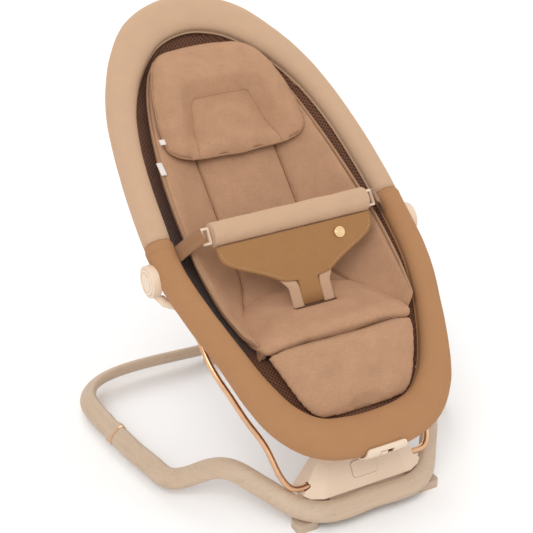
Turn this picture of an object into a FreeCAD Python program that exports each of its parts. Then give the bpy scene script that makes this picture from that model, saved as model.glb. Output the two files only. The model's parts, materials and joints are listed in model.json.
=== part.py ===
import FreeCAD, Part
import math
import os

import Sketcher

# Baby bouncer seat: a padded oval hoop hung at two side hubs on a sprung wire frame that folds
# down over a ring-shaped base. Millimetres. The origin is on the floor under the middle of the
# whole object, +X is the sitter's left, +Y runs from the foot end to the head end, +Z is up.

os.makedirs("parts", exist_ok=True)
doc = FreeCAD.newDocument("BouncerSeat")
V = FreeCAD.Vector

# ---------------------------------------------------------------- driving dimensions
DIMENSIONS = {
    "hoop_tilt": 35.0,          # hoop plane above the floor, degrees
    "seat_back": -65.5,         # a point on the hoop plane, Y
    "seat_height": 307.0,       # and Z
    "hub_along": 20.0,          # hub axis, along the hoop plane from that point
    "hub_lift": -16.0,          # and below the plane
    "pivot_back": -267.5,       # fold and spring axis, Y
    "pivot_height": 54.0,       # fold and spring axis, Z
    "front_back": -302.5,       # middle of the front bar, Y
    "rear_back": 176.5,         # middle of the rear bar, Y
    "rail_height": 27.0,        # middle of the base strip above the floor
    "ring_back": 10.5,          # the metal rings that divide the base strip, Y
    "ring_side": 258.0,         # and their X
    "strip_wide": 31.0,
    "strip_thick": 17.0,
    "strip_cant": 45.0,         # wide face turned out and up, degrees
    "collar_long": 3.0,
    "spigot_radius": 4.0,
    "spigot_long": 40.0,
    "foot_wide": 34.0,
    "foot_deep": 25.0,
    "foot_tall": 13.8,
    "rear_foot_tall": 10.8,
    "foot_round": 5.0,
    "rear_foot_wide": 60.0,
    "tube_radius": 11.0,
    "bore_radius": 11.9,        # sleeve bore round the hoop tube
    "rim_half": 20.0,           # half-width of the padded rim at the sides
    "rim_rise": 19.0,           # half-thickness of the padded rim
    "rim_head_extra": 12.0,
    "rim_foot_extra": 10.0,
    "hoop_side": 190.0,         # hoop tube centre at the hubs, X
    "seam_along": 60.0,         # where the light and dark sleeves meet, ahead of the hubs
    "wire_radius": 4.5,
    "wire_half": 93.0,          # straight middle of the wire, half-length
    "wire_tip": 26.0,           # straight end held in the hub's neck
    "socket_gap": 0.2,          # clearance round that end in its socket
    "socket_end": 1.0,          # and past its tip
    "neck_radius": 6.4,
    "running_gap": 0.05,        # radial clearance of shafts in their bores
    "spindle_radius": 7.5,
    "spindle_half": 66.0,
    "wheel_radius": 9.5,
    "wheel_wide": 8.0,
    "wheel_side": 38.0,
    "bearing_wide": 10.0,
    "bearing_side": 50.0,
    "bearing_radius": 9.8,
    "hub_radius": 23.5,
    "hub_inner": 207.0,         # inner face of the hub, X
    "hub_deep": 14.0,
    "hub_recess": 8.0,
    "button_radius": 19.0,
    "button_thick": 6.5,
    "button_out": 216.0,        # inner face of the button, X
    "button_gap": 0.35,
    "hub_pin_radius": 6.0,
    "hub_pin_start": 198.0,
    "hub_pin_long": 15.5,
    "bracket_radius": 14.0,
    "bracket_long": 36.0,
    "lug_radius": 9.5,          # the bracket's boss round the hub pin
    "cover_gap": 0.8,           # clearance of the rim's cover round the hub's parts
    "washer_outer": 15.0,
    "washer_inner": 10.0,
    "washer_thick": 1.2,
    "shell_wall": 2.5,
    "tab_wide": 42.0,
    "tab_tall": 25.0,
    "tab_thick": 3.0,
    "tab_round": 6.0,
    "screw_radius": 2.0,
    "screw_long": 20.0,
    "screw_head": 3.5,
    "pad_thick": 14.0,
    "mesh_thick": 2.5,
    "harness_lean": 21.7,       # crotch panel above the hoop plane, degrees
    "harness_along": -84.0,     # crotch anchor bar, along and above the hoop plane
    "harness_lift": -3.0,
    "anchor_radius": 2.5,
    "anchor_half": 37.0,
    "loop_radius": 5.0,
    "loop_half": 33.0,
    "panel_thick": 4.0,
    "panel_top": 112.0,
    "roll_radius": 18.5,
    "roll_long": 254.0,
    "roll_up": 132.0,           # belt roll axis, from the anchor bar along the panel
    "roll_drop": -6.0,          # and off the panel's face
    "clip_wide": 14.0,
    "clip_tall": 25.0,
    "clip_thick": 5.0,
    "clip_bar": 3.5,
    "snap_radius": 8.5,
    "snap_thick": 2.6,
    "strap_wide": 24.0,
    "strap_thick": 2.0,
    "badge_low": 36.0,          # half-widths of the foot badge
    "badge_high": 30.0,
    "badge_thick": 3.5,
    "slider_wide": 10.0,
    "slider_slot": 22.0,
    "slider_tall": 6.0,
}

sheet = doc.addObject("Spreadsheet::Sheet", "dims")
for row, (alias, value) in enumerate(DIMENSIONS.items(), start=1):
    sheet.set(f"A{row}", alias)
    sheet.set(f"B{row}", str(value))
    sheet.setAlias(f"B{row}", alias)
doc.recompute()

pieces = {}


def dim(alias):
    return float(sheet.get(alias))


# ---------------------------------------------------------------- frames of reference
def seat(across, along, lift):
    """A point given in the hoop's own plane: along it towards the head, and above it."""
    tilt = math.radians(dim("hoop_tilt"))
    back = dim("seat_back") + along * math.cos(tilt) - lift * math.sin(tilt)
    height = dim("seat_height") + along * math.sin(tilt) + lift * math.cos(tilt)
    return V(across, back, height)


def harness(across, up, off):
    """A point given on the crotch panel: up it from the anchor bar, and off its face."""
    lean = math.radians(dim("harness_lean"))
    along = dim("harness_along") + up * math.cos(lean) - off * math.sin(lean)
    lift = dim("harness_lift") + up * math.sin(lean) + off * math.cos(lean)
    return seat(across, along, lift)


def tilted(position, degrees):
    """A placement at a point, turned about the X axis."""
    return FreeCAD.Placement(position, FreeCAD.Rotation(V(1, 0, 0), degrees))


HARNESS_TURN = dim("hoop_tilt") + dim("harness_lean")
SEAT_ORIGIN = seat(0, 0, 0)
HUB_AXIS = seat(0, dim("hub_along"), dim("hub_lift"))
PIVOT_AXIS = V(0, dim("pivot_back"), dim("pivot_height"))


# ---------------------------------------------------------------- shape helpers
def keep(label, thing):
    """Registers a finished piece, either a document object or a bare shape."""
    if isinstance(thing, Part.Shape):
        feature = doc.addObject("Part::Feature", label)
        feature.Shape = thing
        thing = feature
    thing.Label = label
    pieces[label] = thing
    return thing


def solid(shape):
    """The one solid of a shape."""
    if len(shape.Solids) != 1:
        raise ValueError(f"expected one solid, found {len(shape.Solids)}")
    return shape.Solids[0]


def curve_through(points, start=None, end=None):
    curve = Part.BSplineCurve()
    if start is None:
        curve.interpolate(Points=points)
    else:
        curve.interpolate(Points=points, InitialTangent=start, FinalTangent=end)
    return curve


def ring_wire(points):
    curve = Part.BSplineCurve()
    curve.interpolate(Points=points, PeriodicFlag=True)
    return Part.Wire(curve.toShape())


def loft(sections):
    return solid(Part.makeLoft([ring_wire(points) for points in sections], True, False))


def skin(sections):
    """A closed solid whose surface passes through rings of points, with flat ends."""
    surface = Part.BSplineSurface()
    surface.interpolate([points + points[:1] for points in sections])
    side = surface.toShape()
    caps = [Part.Face(Part.Wire(edge)) for edge in side.Edges if edge.isClosed()]
    shell = Part.makeShell([side] + caps)
    shell.sewShape()
    result = Part.Solid(shell.Shells[0])
    if result.Volume < 0:
        result.reverse()
    return result


def mirrored_x(points):
    return [V(-p.x, p.y, p.z) for p in points]


def mirror_shape(shape):
    return shape.mirror(V(0, 0, 0), V(1, 0, 0))


def stations(edge, count, first=0.0, last=None):
    """Evenly spaced (point, direction) pairs along an edge."""
    last = edge.Length if last is None else last
    found = []
    for step in range(count):
        reach = first + (last - first) * step / (count - 1)
        parameter = edge.getParameterByLength(min(max(reach, 0.001), edge.Length - 0.001))
        found.append((edge.valueAt(parameter), edge.tangentAt(parameter)))
    return found


def oval(centre, side, up, half_wide, half_thick, squareness=0.85, count=12):
    """Points round a superellipse."""
    points = []
    for step in range(count):
        angle = 2 * math.pi * (step + 0.5) / count
        c, s = math.cos(angle), math.sin(angle)
        wide = half_wide * math.copysign(abs(c) ** squareness, c)
        thick = half_thick * math.copysign(abs(s) ** squareness, s)
        points.append(centre + side * wide + up * thick)
    return points


def cylinder_x(radius, start, end, axis):
    """A plain round bar along X."""
    base = V(start, axis.y, axis.z)
    return Part.makeCylinder(radius, end - start, base, V(1, 0, 0))


def block(low, high):
    return Part.makeBox(high.x - low.x, high.y - low.y, high.z - low.z, low)


# ---------------------------------------------------------------- sketched bodies
def new_body(label):
    body = doc.addObject("PartDesign::Body", label)
    body.Label = label
    return body


def new_sketch(body, role, name):
    sketch = body.newObject("Sketcher::SketchObject", name)
    plane = next(f for f in body.Origin.OriginFeatures if f.Role == role)
    sketch.AttachmentSupport = [(plane, "")]
    sketch.MapMode = "FlatFace"
    return sketch


def draw_circle(sketch, alias):
    """A circle round the sketch's origin whose radius is a cell of the sheet."""
    index = sketch.addGeometry(Part.Circle(V(0, 0, 0), V(0, 0, 1), dim(alias)))
    sketch.addConstraint(Sketcher.Constraint("Coincident", index, 3, -1, 1))
    radius = sketch.addConstraint(Sketcher.Constraint("Radius", index, dim(alias)))
    sketch.setExpression(f"Constraints[{radius}]", f"dims.{alias}")


def draw_rectangle(sketch, wide_alias, tall_alias, trim=0.0):
    """A rectangle centred on the sketch's origin, its sides bound to the sheet less a trim."""
    half_wide = dim(wide_alias) / 2 - trim
    half_tall = dim(tall_alias) / 2 - trim
    corners = [V(-half_wide, -half_tall, 0), V(half_wide, -half_tall, 0),
               V(half_wide, half_tall, 0), V(-half_wide, half_tall, 0)]
    first = sketch.GeometryCount
    for here in range(4):
        sketch.addGeometry(Part.LineSegment(corners[here], corners[(here + 1) % 4]))
    for here in range(4):
        following = first + (here + 1) % 4
        sketch.addConstraint(Sketcher.Constraint("Coincident", first + here, 2, following, 1))
    for here, kind in enumerate(("Horizontal", "Vertical", "Horizontal", "Vertical")):
        sketch.addConstraint(Sketcher.Constraint(kind, first + here))
    sketch.addConstraint(Sketcher.Constraint("Symmetric", first, 1, first + 1, 2, -1, 1))
    wide = sketch.addConstraint(
        Sketcher.Constraint("DistanceX", first, 1, first, 2, 2 * half_wide))
    tall = sketch.addConstraint(
        Sketcher.Constraint("DistanceY", first + 1, 1, first + 1, 2, 2 * half_tall))
    sketch.setExpression(f"Constraints[{wide}]", f"dims.{wide_alias} - {2 * trim}")
    sketch.setExpression(f"Constraints[{tall}]", f"dims.{tall_alias} - {2 * trim}")


def add_pad(body, sketch, length_expression):
    feature = body.newObject("PartDesign::Pad", f"{body.Name}_pad")
    feature.Profile = sketch
    feature.setExpression("Length", length_expression)
    doc.recompute()
    return feature


def add_fillet(body, base, edges, radius_expression):
    feature = body.newObject("PartDesign::Fillet", f"{body.Name}_fillet")
    feature.Base = (base, edges)
    feature.setExpression("Radius", radius_expression)
    doc.recompute()
    return feature


def upright_edges(shape, direction):
    """Names of the straight edges that run along a direction."""
    names = []
    for number, edge in enumerate(shape.Edges, start=1):
        if isinstance(edge.Curve, (Part.Line, Part.LineSegment)):
            run = (edge.Vertexes[-1].Point - edge.Vertexes[0].Point).normalize()
            if abs(run.dot(direction)) > 0.999:
                names.append(f"Edge{number}")
    return names


def face_rim_edges(shape, direction):
    """Names of the edges of the flat face furthest along a direction."""
    def reach(face):
        return face.CenterOfMass.dot(direction)
    far = max(shape.Faces, key=reach)
    return [f"Edge{number}" for number, edge in enumerate(shape.Edges, start=1)
            if any(edge.isSame(other) for other in far.Edges)]


def placed_disc(label, radius_alias, length_alias, start, side, edge_round="0.6"):
    """A disc on an X axis through the hubs, with its free face's edge rounded."""
    body = new_body(label)
    sketch = new_sketch(body, "YZ_Plane", f"{label}_outline")
    draw_circle(sketch, radius_alias)
    pad = add_pad(body, sketch, f"dims.{length_alias}")
    add_fillet(body, pad, face_rim_edges(body.Shape, V(1, 0, 0)), edge_round)
    turn = FreeCAD.Rotation(V(0, 0, 1), 0 if side > 0 else 180)
    body.Placement = FreeCAD.Placement(HUB_AXIS + V(side * start, 0, 0), turn)
    return body


# ---------------------------------------------------------------- base ring
def strip_section(point, direction, grow=1.0):
    """The canted oval of the base strip, square to its run."""
    up = V(0, 0, 1)
    out = direction.cross(up).normalize()
    if out.dot(V(point.x, point.y - dim("ring_back"), 0)) < 0:
        out = out * -1
    square_up = direction.cross(out).normalize()
    if square_up.z < 0:
        square_up = square_up * -1
    cant = math.radians(dim("strip_cant"))
    wide = out * math.cos(cant) - square_up * math.sin(cant)
    thin = out * math.sin(cant) + square_up * math.cos(cant)
    return oval(point, wide, thin, grow * dim("strip_wide") / 2, grow * dim("strip_thick") / 2)


def base_piece(points, start, end, count):
    edge = curve_through(points, start, end).toShape()
    return loft([strip_section(p, d) for p, d in stations(edge, count)])


def make_base_strip():
    """Front and rear bows, the rings between them and the spigots inside."""
    front, rear, level = dim("front_back"), dim("rear_back"), dim("rail_height")
    ring_x, ring_y, half = dim("ring_side"), dim("ring_back"), dim("collar_long") / 2
    lead = V(-0.11, 0.99, 0)
    front_side = [V(-72, front + 1.5, level), V(-102, front + 20, level + 2),
                  V(-127, front + 50, level + 14), V(-150, front + 81, level + 28),
                  V(-174, front + 115, level + 36), V(-195, front + 138, level + 26),
                  V(-222, front + 165, level + 4), V(-236, front + 181, level - 1),
                  V(-243, front + 204, level), V(-252, front + 258, level),
                  V(-ring_x, ring_y - half - 0.1, level)]
    middle = [V(0, front, level)]
    path = mirrored_x(front_side)[::-1] + middle + front_side
    back = V(-0.11, -0.99, 0)
    front_bow = base_piece(path, back, lead, 71)

    rear_side = [V(-264, ring_y + 72, level), V(-262, ring_y + 108, level),
                 V(-245, ring_y + 140, level), V(-215, rear - 6, level),
                 V(-170, rear + 3, level), V(-100, rear + 3, level - 1)]
    ends = V(-ring_x - 0.3, ring_y + half + 0.1, level)
    path = [ends] + rear_side + [V(0, rear, level - 3)]
    path = path + mirrored_x(rear_side)[::-1] + mirrored_x([ends])
    rear_bow = base_piece(path, lead, back, 51)

    collars, spigots = {}, {}
    bores = []
    for name, side in (("left", -1), ("right", 1)):
        centre = V(side * ring_x, ring_y, level)
        along = V(side * 0.11, 0.99, 0).normalize()
        sections = [strip_section(centre + along * reach, along, 1.07) for reach in (-half, half)]
        base = centre - V(0, dim("spigot_long") / 2, 0)
        reach = dim("spigot_long")
        bore = Part.makeCylinder(
            dim("spigot_radius") + dim("running_gap"), reach + 1, base - V(0, 0.5, 0), V(0, 1, 0))
        bores.append(bore)
        collars[name] = loft(sections).cut(bore)
        spigots[name] = Part.makeCylinder(dim("spigot_radius"), reach, base, V(0, 1, 0))
    return front_bow.cut(bores), rear_bow.cut(bores), collars, spigots


def screw_axes():
    """Four screws that hold the housing's foot to the front bar."""
    low, high = dim("rail_height") - 5, dim("rail_height") + 4
    return [V(across, dim("front_back") + 22, height)
            for across in (-55, 55) for height in (low, high)]


def make_screws():
    screws = []
    for point in screw_axes():
        shank = Part.makeCylinder(
            dim("screw_radius"), dim("screw_long"), point, V(0, -1, 0))
        head = Part.makeCylinder(dim("screw_head"), 2.5, point, V(0, 1, 0))
        screws.append(shank.fuse(head).removeSplitter())
    return Part.makeCompound(screws)


def make_screw_holes(radius_gap):
    return [Part.makeCylinder(dim("screw_radius") + radius_gap, dim("screw_long") + 0.5,
                              point, V(0, -1, 0)) for point in screw_axes()]


def make_foot(label, wide_alias, tall_alias, centre):
    """A rubber foot under the strip, its corners and its lower edge rounded."""
    body = new_body(label)
    sketch = new_sketch(body, "XY_Plane", f"{label}_outline")
    draw_rectangle(sketch, wide_alias, "foot_deep")
    pad = add_pad(body, sketch, f"dims.{tall_alias}")
    add_fillet(body, pad, upright_edges(body.Shape, V(0, 0, 1)), "dims.foot_round")
    body.Placement = FreeCAD.Placement(centre, FreeCAD.Rotation())
    keep(label, body)


def make_base():
    front_bow, rear_bow, collars, spigots = make_base_strip()
    keep("front_bow", solid(front_bow.cut(make_screw_holes(0.05))))
    keep("rear_bow", solid(rear_bow))
    for name in ("left", "right"):
        keep(f"joint_ring_{name}", solid(collars[name]))
        keep(f"joint_spigot_{name}", spigots[name])
    keep("base_screws", make_screws())
    for name, side in (("left", -1), ("right", 1)):
        make_foot(f"foot_front_{name}", "foot_wide", "foot_tall",
                  V(side * 101, dim("front_back") + 17, 0))
    make_foot("foot_rear", "rear_foot_wide", "rear_foot_tall", V(0, dim("rear_back") - 3, 0))


# ---------------------------------------------------------------- front housing
SHELL_FOOT, SHELL_TOP = 41.0, 96.0


def shell_outline(height, inset):
    """The housing's rounded trapezoid at a height, which narrows and leans back as it rises."""
    rise = (height - SHELL_FOOT) / (SHELL_TOP - SHELL_FOOT)
    half = 100 - 38 * rise - inset
    front = dim("front_back") + 12 + 31 * rise + inset
    shoulder = dim("front_back") + 26 + 19 * rise + inset
    back = dim("front_back") + 66 - 3 * rise - inset
    corners = [V(-half * 0.72, front, height), V(half * 0.72, front, height),
               V(half, shoulder, height), V(half * 0.94, back, height),
               V(-half * 0.94, back, height), V(-half, shoulder, height)]
    edges = [Part.LineSegment(corners[n], corners[(n + 1) % 6]).toShape() for n in range(6)]
    return Part.Wire(edges)


def shell_block(inset, low, high):
    wires = [shell_outline(low, inset), shell_outline(high, inset)]
    return solid(Part.makeLoft(wires, True, True))


def face_slope():
    """Angle of the housing's front face from the horizontal, degrees."""
    return math.degrees(math.atan2(SHELL_TOP - SHELL_FOOT, 31))


def tab_placement(sink):
    """The fold button's seat, centred on the sloping face and sunk square to it."""
    height = 64.5
    rise = (height - SHELL_FOOT) / (SHELL_TOP - SHELL_FOOT)
    slope = math.radians(face_slope())
    inward = V(0, math.sin(slope), -math.cos(slope))
    point = V(0, dim("front_back") + 12 + 31 * rise, height) + inward * sink
    return tilted(point, face_slope())


def tab_body(label, trim, thick_expression):
    body = new_body(label)
    sketch = new_sketch(body, "XY_Plane", f"{label}_outline")
    draw_rectangle(sketch, "tab_wide", "tab_tall", trim)
    pad = add_pad(body, sketch, thick_expression)
    corners = upright_edges(body.Shape, V(0, 0, 1))
    add_fillet(body, pad, corners, f"dims.tab_round - {trim}")
    return body


def make_housing():
    wall = dim("shell_wall")
    outer = shell_block(0, SHELL_FOOT, SHELL_TOP)
    outer = outer.makeFillet(3.0, [e for e in outer.Edges if abs(e.tangentAt(0).z) > 0.3])
    inner = shell_block(wall, SHELL_FOOT - 1, SHELL_TOP - wall)
    opening = tab_body("fold_button_window", 0.0, "dims.tab_thick + 6")
    opening.Placement = tab_placement(dim("tab_thick") + 3)
    doc.recompute()
    wire_exit = cylinder_x(dim("wire_radius") + 1.5, -130, 130, PIVOT_AXIS)
    cuts = [inner, opening.Shape, wire_exit]
    for side in (-1, 1):
        start = V(side * 88, dim("front_back") + 3, 22.5)
        finish = V(side * 140, dim("front_back") + 66, 47.5)
        run = finish - start
        cuts.append(Part.makeCylinder(dim("strip_wide") / 2 + 1.2, run.Length, start, run))
    shell = outer.cut(cuts)
    keep("housing_shell", solid(shell))

    tab = tab_body("fold_button", 0.5, "dims.tab_thick")
    edges = face_rim_edges(tab.Shape, V(0, 0, 1))
    add_fillet(tab, tab.Tip, edges, "0.8")
    tab.Placement = tab_placement(dim("tab_thick") - 1.2)
    keep("fold_button", tab)

    front, floor = dim("front_back"), SHELL_FOOT
    nose = block(V(-62, front + 14.6, 12), V(62, front + 32, floor))
    deck = block(V(-88, front + 30, 12), V(88, front + 62, floor))
    seats = [Part.makeCylinder(dim("screw_head") + 0.5, 45, p, V(0, 1, 0)) for p in screw_axes()]
    plinth = nose.fuse(deck).removeSplitter().cut(seats + make_screw_holes(0.05))
    keep("housing_base", solid(plinth))

    for name, side in (("left", -1), ("right", 1)):
        start, radius = dim("bearing_side"), dim("bearing_radius")
        finish = start + dim("bearing_wide")
        low = V(start, dim("pivot_back") - radius, floor)
        high = V(finish, dim("pivot_back") + radius, dim("pivot_height"))
        stand = block(low, high).fuse(cylinder_x(radius, start, finish, PIVOT_AXIS))
        bore = cylinder_x(dim("spindle_radius") + dim("running_gap"), start - 1, finish + 1,
                          PIVOT_AXIS)
        stand = solid(stand.removeSplitter().cut(bore))
        keep(f"pivot_bearing_{name}", stand if side > 0 else mirror_shape(stand))


def make_spindle():
    """The locking sleeve round the wire, with a toothed wheel near each end."""
    half = dim("spindle_half")
    spindle = cylinder_x(dim("spindle_radius"), -half, half, PIVOT_AXIS)
    for side in (-1, 1):
        middle = side * dim("wheel_side")
        wheel = cylinder_x(dim("wheel_radius"), middle - dim("wheel_wide") / 2,
                           middle + dim("wheel_wide") / 2, PIVOT_AXIS)
        spindle = spindle.fuse(wheel)
        for tooth in range(8):
            angle = 2 * math.pi * tooth / 8
            reach = V(0, math.cos(angle), math.sin(angle)) * dim("wheel_radius")
            notch = cylinder_x(1.3, middle - 5, middle + 5, PIVOT_AXIS + reach)
            spindle = spindle.cut(notch)
    bore = cylinder_x(dim("wire_radius") + dim("running_gap"), -half - 1, half + 1, PIVOT_AXIS)
    keep("fold_spindle", solid(spindle.cut(bore)))


# ---------------------------------------------------------------- sprung wire and hubs
def wire_leg():
    """Right-hand leg of the wire, from the end of its straight middle up to the hub."""
    pivot = PIVOT_AXIS
    rises = [(dim("wire_half"), 0, 0), (99, 0, 0), (110, 2, 2.5), (119, 10, 12),
             (124.5, 23, 28), (130, 44, 54), (145, 70, 85), (158, 94, 116),
             (168, 113, 139), (174, 132, 160), (175, 156, 182), (177.5, 179, 199.5)]
    points = [V(x, pivot.y + back, pivot.z + up) for x, back, up in rises]
    return curve_through(points)


def make_wire():
    leg = wire_leg()
    left = [V(-p.x, p.y, p.z) for p in leg.getPoles()]
    mirrored = Part.BSplineCurve()
    mirrored.buildFromPolesMultsKnots(
        left, leg.getMultiplicities(), leg.getKnots(), False, leg.Degree)
    mirrored.reverse()
    half = dim("wire_half")
    middle = Part.LineSegment(V(-half, PIVOT_AXIS.y, PIVOT_AXIS.z),
                              V(half, PIVOT_AXIS.y, PIVOT_AXIS.z))
    heading = leg.tangent(leg.LastParameter)[0]
    foot = leg.value(leg.LastParameter)
    end = foot + heading * dim("wire_tip")
    tips = [Part.LineSegment(foot, end).toShape()]
    tips.append(mirror_shape(tips[0]))
    path = Part.Wire(Part.__sortEdges__(
        [mirrored.toShape(), middle.toShape(), leg.toShape()] + tips))
    circle = Part.Circle(end, heading, dim("wire_radius"))
    rod = path.makePipeShell([Part.Wire(circle.toShape())], True, False)
    keep("spring_wire", solid(rod))
    return end, heading


def neck_arm(wire_end, heading):
    """The arm that runs from the wire's end, under the rim, up into the hub's drum."""
    radius = dim("neck_radius")
    stops = [wire_end - heading * (dim("wire_tip") - 8), wire_end + heading,
             seat(200, -10, -33), seat(214, dim("hub_along") - 8, dim("hub_lift") - 12)]
    arm = None
    for here, there in zip(stops, stops[1:]):
        run = there - here
        bar = Part.makeCylinder(radius, run.Length, here, run)
        bar = bar.fuse(Part.makeSphere(radius, here))
        arm = bar if arm is None else arm.fuse(bar)
    return arm


def make_hubs(wire_end, heading):
    for name, side in (("left", -1), ("right", 1)):
        inner, deep = dim("hub_inner"), dim("hub_deep")
        drum = cylinder_x(dim("hub_radius"), inner, inner + deep, HUB_AXIS)
        drum = drum.makeFillet(1.5, [e for e in drum.Edges if e.Closed])
        recess = cylinder_x(dim("button_radius") + dim("button_gap"),
                            inner + deep - dim("hub_recess"), inner + deep + 1, HUB_AXIS)
        bore = cylinder_x(dim("hub_pin_radius") + dim("running_gap"), inner - 1,
                          inner + deep + 1, HUB_AXIS)
        drum = drum.cut([recess, bore])
        spare = dim("socket_end")
        socket = Part.makeCylinder(dim("wire_radius") + dim("socket_gap"),
                                   dim("wire_tip") + spare, wire_end + heading * spare,
                                   heading * -1)
        neck = neck_arm(wire_end, heading).cut(
            [cylinder_x(dim("hub_radius"), 150, 260, HUB_AXIS), socket])
        neck = max(neck.Solids, key=lambda s: s.Volume)
        if side < 0:
            drum, neck = mirror_shape(drum), mirror_shape(neck)
        keep(f"hub_housing_{name}", solid(drum))
        keep(f"hub_neck_{name}", neck)

        start = inner + deep - dim("hub_recess")
        washer = cylinder_x(dim("washer_outer"), start, start + dim("washer_thick"), HUB_AXIS)
        washer = washer.cut(cylinder_x(dim("washer_inner"), start - 1, start + 3, HUB_AXIS))
        keep(f"button_spring_{name}", washer if side > 0 else mirror_shape(washer))

        button = placed_disc(f"hub_button_{name}", "button_radius", "button_thick",
                             dim("button_out"), side, "1.5")
        keep(f"hub_button_{name}", button)
        pin = placed_disc(f"hub_pin_{name}", "hub_pin_radius", "hub_pin_long",
                          dim("hub_pin_start"), side)
        keep(f"hub_pin_{name}", pin)


# ---------------------------------------------------------------- hoop
LOWER_HALF = [(181, -60, 9), (163, -130, 10), (143, -195, 4), (118, -245, 0), (75, -280, 0)]
UPPER_HALF = [(187, 120, 0), (176, 220, 0), (156, 300, 0), (119, 374, 0), (70, 428, 0)]
FOOT_ALONG, HEAD_ALONG = -291, 449


def hoop_path(half, middle, heading):
    """One U of the hoop's centre line, close to the hoop plane, from the right hub to the left."""
    side = dim("hoop_side")
    start = dim("hub_along")
    run = [(side, start, 0)] + half + [(0, middle, 0)]
    run = run + [(-x, y, lift) for x, y, lift in half[::-1]] + [(-side, start, 0)]
    points = [seat(x, along, lift) for x, along, lift in run]
    direction = seat(0, 1, 0) - seat(0, 0, 0)
    return curve_through(points, direction * heading, direction * -heading)


def along_of(point):
    """How far along the hoop plane a point lies."""
    direction = seat(0, 1, 0) - seat(0, 0, 0)
    return (point - SEAT_ORIGIN).dot(direction)


def rim_half_width(along):
    """The padded rim is widest over the head and the foot."""
    if along > 200:
        share = (along - 200) / (HEAD_ALONG - 200)
        return dim("rim_half") + dim("rim_head_extra") * share ** 1.5
    if along < -130:
        share = (-130 - along) / (-130 - FOOT_ALONG)
        return dim("rim_half") + dim("rim_foot_extra") * share ** 1.2
    return dim("rim_half")


def rim_section(point, direction, grow=0.0):
    normal = seat(0, 0, 1) - seat(0, 0, 0)
    side = direction.cross(normal).normalize()
    half = rim_half_width(along_of(point)) + grow
    return oval(point, side, normal, half, dim("rim_rise") + grow)


def round_section(point, direction, radius):
    normal = seat(0, 0, 1) - seat(0, 0, 0)
    side = direction.cross(normal).normalize()
    return oval(point, side, normal, radius, radius, squareness=1.0)


def hoop_runs(upper, lower):
    """Stations of the two sleeves and of slightly longer bores, seam to seam."""
    seam = dim("seam_along") - dim("hub_along")
    step = 12.0
    high = stations(upper, 49, seam, upper.Length - seam)
    high_long = stations(upper, 51, seam - step, upper.Length - seam + step)
    low = stations(lower, 37)

    def with_ends(reach):
        right = [(p, d * -1) for p, d in stations(upper, 4, 12, reach)]
        left = [(p, d * -1) for p, d in stations(upper, 4, upper.Length - reach, upper.Length - 12)]
        return right[::-1] + low + left[::-1]

    return high, high_long, with_ends(seam - 0.6), with_ends(seam + step)


def make_hoop():
    upper_path = hoop_path(UPPER_HALF, HEAD_ALONG, 1)
    lower_path = hoop_path(LOWER_HALF, FOOT_ALONG, -1)
    upper, lower = upper_path.toShape(), lower_path.toShape()
    for name, edge in (("upper", upper), ("lower", lower)):
        run = stations(edge, 45)
        tube = loft([round_section(p, d, dim("tube_radius")) for p, d in run])
        inside = loft([round_section(p, d, dim("tube_radius") - 1.5) for p, d in run])
        keep(f"hoop_tube_{name}", solid(tube.cut(inside)))

    high, high_long, low, low_long = hoop_runs(upper, lower)
    sleeve = loft([rim_section(p, d) for p, d in high])
    sleeve = sleeve.cut(loft([round_section(p, d, dim("bore_radius")) for p, d in high_long]))
    keep("hoop_cover_upper", solid(sleeve))

    sleeve = loft([rim_section(p, d) for p, d in low])
    cuts = [loft([round_section(p, d, dim("bore_radius")) for p, d in low_long])]
    along = seat(0, 1, 0) - seat(0, 0, 0)
    for side in (-1, 1):
        half = dim("bracket_long") / 2 + 1
        start = seat(side * dim("hoop_side"), dim("hub_along") - half, 0)
        gap = dim("cover_gap")
        cuts.append(Part.makeCylinder(dim("bracket_radius") + gap, 2 * half, start, along))
        for radius, inner in (("lug_radius", 180), ("hub_radius", dim("hub_inner") - gap)):
            low, high = sorted((side * inner, side * 240))
            cuts.append(cylinder_x(dim(radius) + gap, low, high, HUB_AXIS))
    keep("hoop_cover_lower", solid(sleeve.cut(cuts)))

    for name, side in (("left", -1), ("right", 1)):
        half = dim("bracket_long") / 2
        start = seat(side * dim("hoop_side"), dim("hub_along") - half, 0)
        collar = Part.makeCylinder(dim("bracket_radius"), 2 * half, start, along)
        low, high = sorted((side * 182, side * (dim("hub_inner") - 1)))
        collar = collar.fuse(cylinder_x(dim("lug_radius"), low, high, HUB_AXIS))
        tubes = [pieces["hoop_tube_upper"].Shape, pieces["hoop_tube_lower"].Shape]
        core = Part.makeCylinder(dim("tube_radius") + 0.3, 2 * half + 2, start - along, along)
        collar = collar.cut([core] + tubes)
        pin = pieces[f"hub_pin_{name}"].Shape
        keep(f"hub_bracket_{name}", max(collar.cut(pin).Solids, key=lambda s: s.Volume))
    return upper, lower


def rim_inner_width(upper, lower, along):
    """Half the clear width inside the padded rim at a place along the hoop."""
    edge = upper if along >= dim("hub_along") else lower
    normal = seat(0, 0, 1) - seat(0, 0, 0)
    best = None
    for point, direction in stations(edge, 241):
        if point.x < 0:
            continue
        side = direction.cross(normal).normalize()
        if side.dot(V(point.x, 0, 0)) > 0 or (abs(point.x) < 1):
            side = side if side.x <= 0 else side * -1
        inner = point + side * rim_half_width(along_of(point))
        miss = abs(along_of(inner) - along)
        if best is None or miss < best[0]:
            best = (miss, inner.x)
    return best[1]


# ---------------------------------------------------------------- soft pieces in the hoop
SPREAD = (-1.0, -0.82, -0.5, 0.0, 0.5, 0.82, 1.0)
SLING_SPREAD = (-1.0, -0.9, -0.75, -0.5, 0.0, 0.5, 0.75, 0.9, 1.0)


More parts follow.
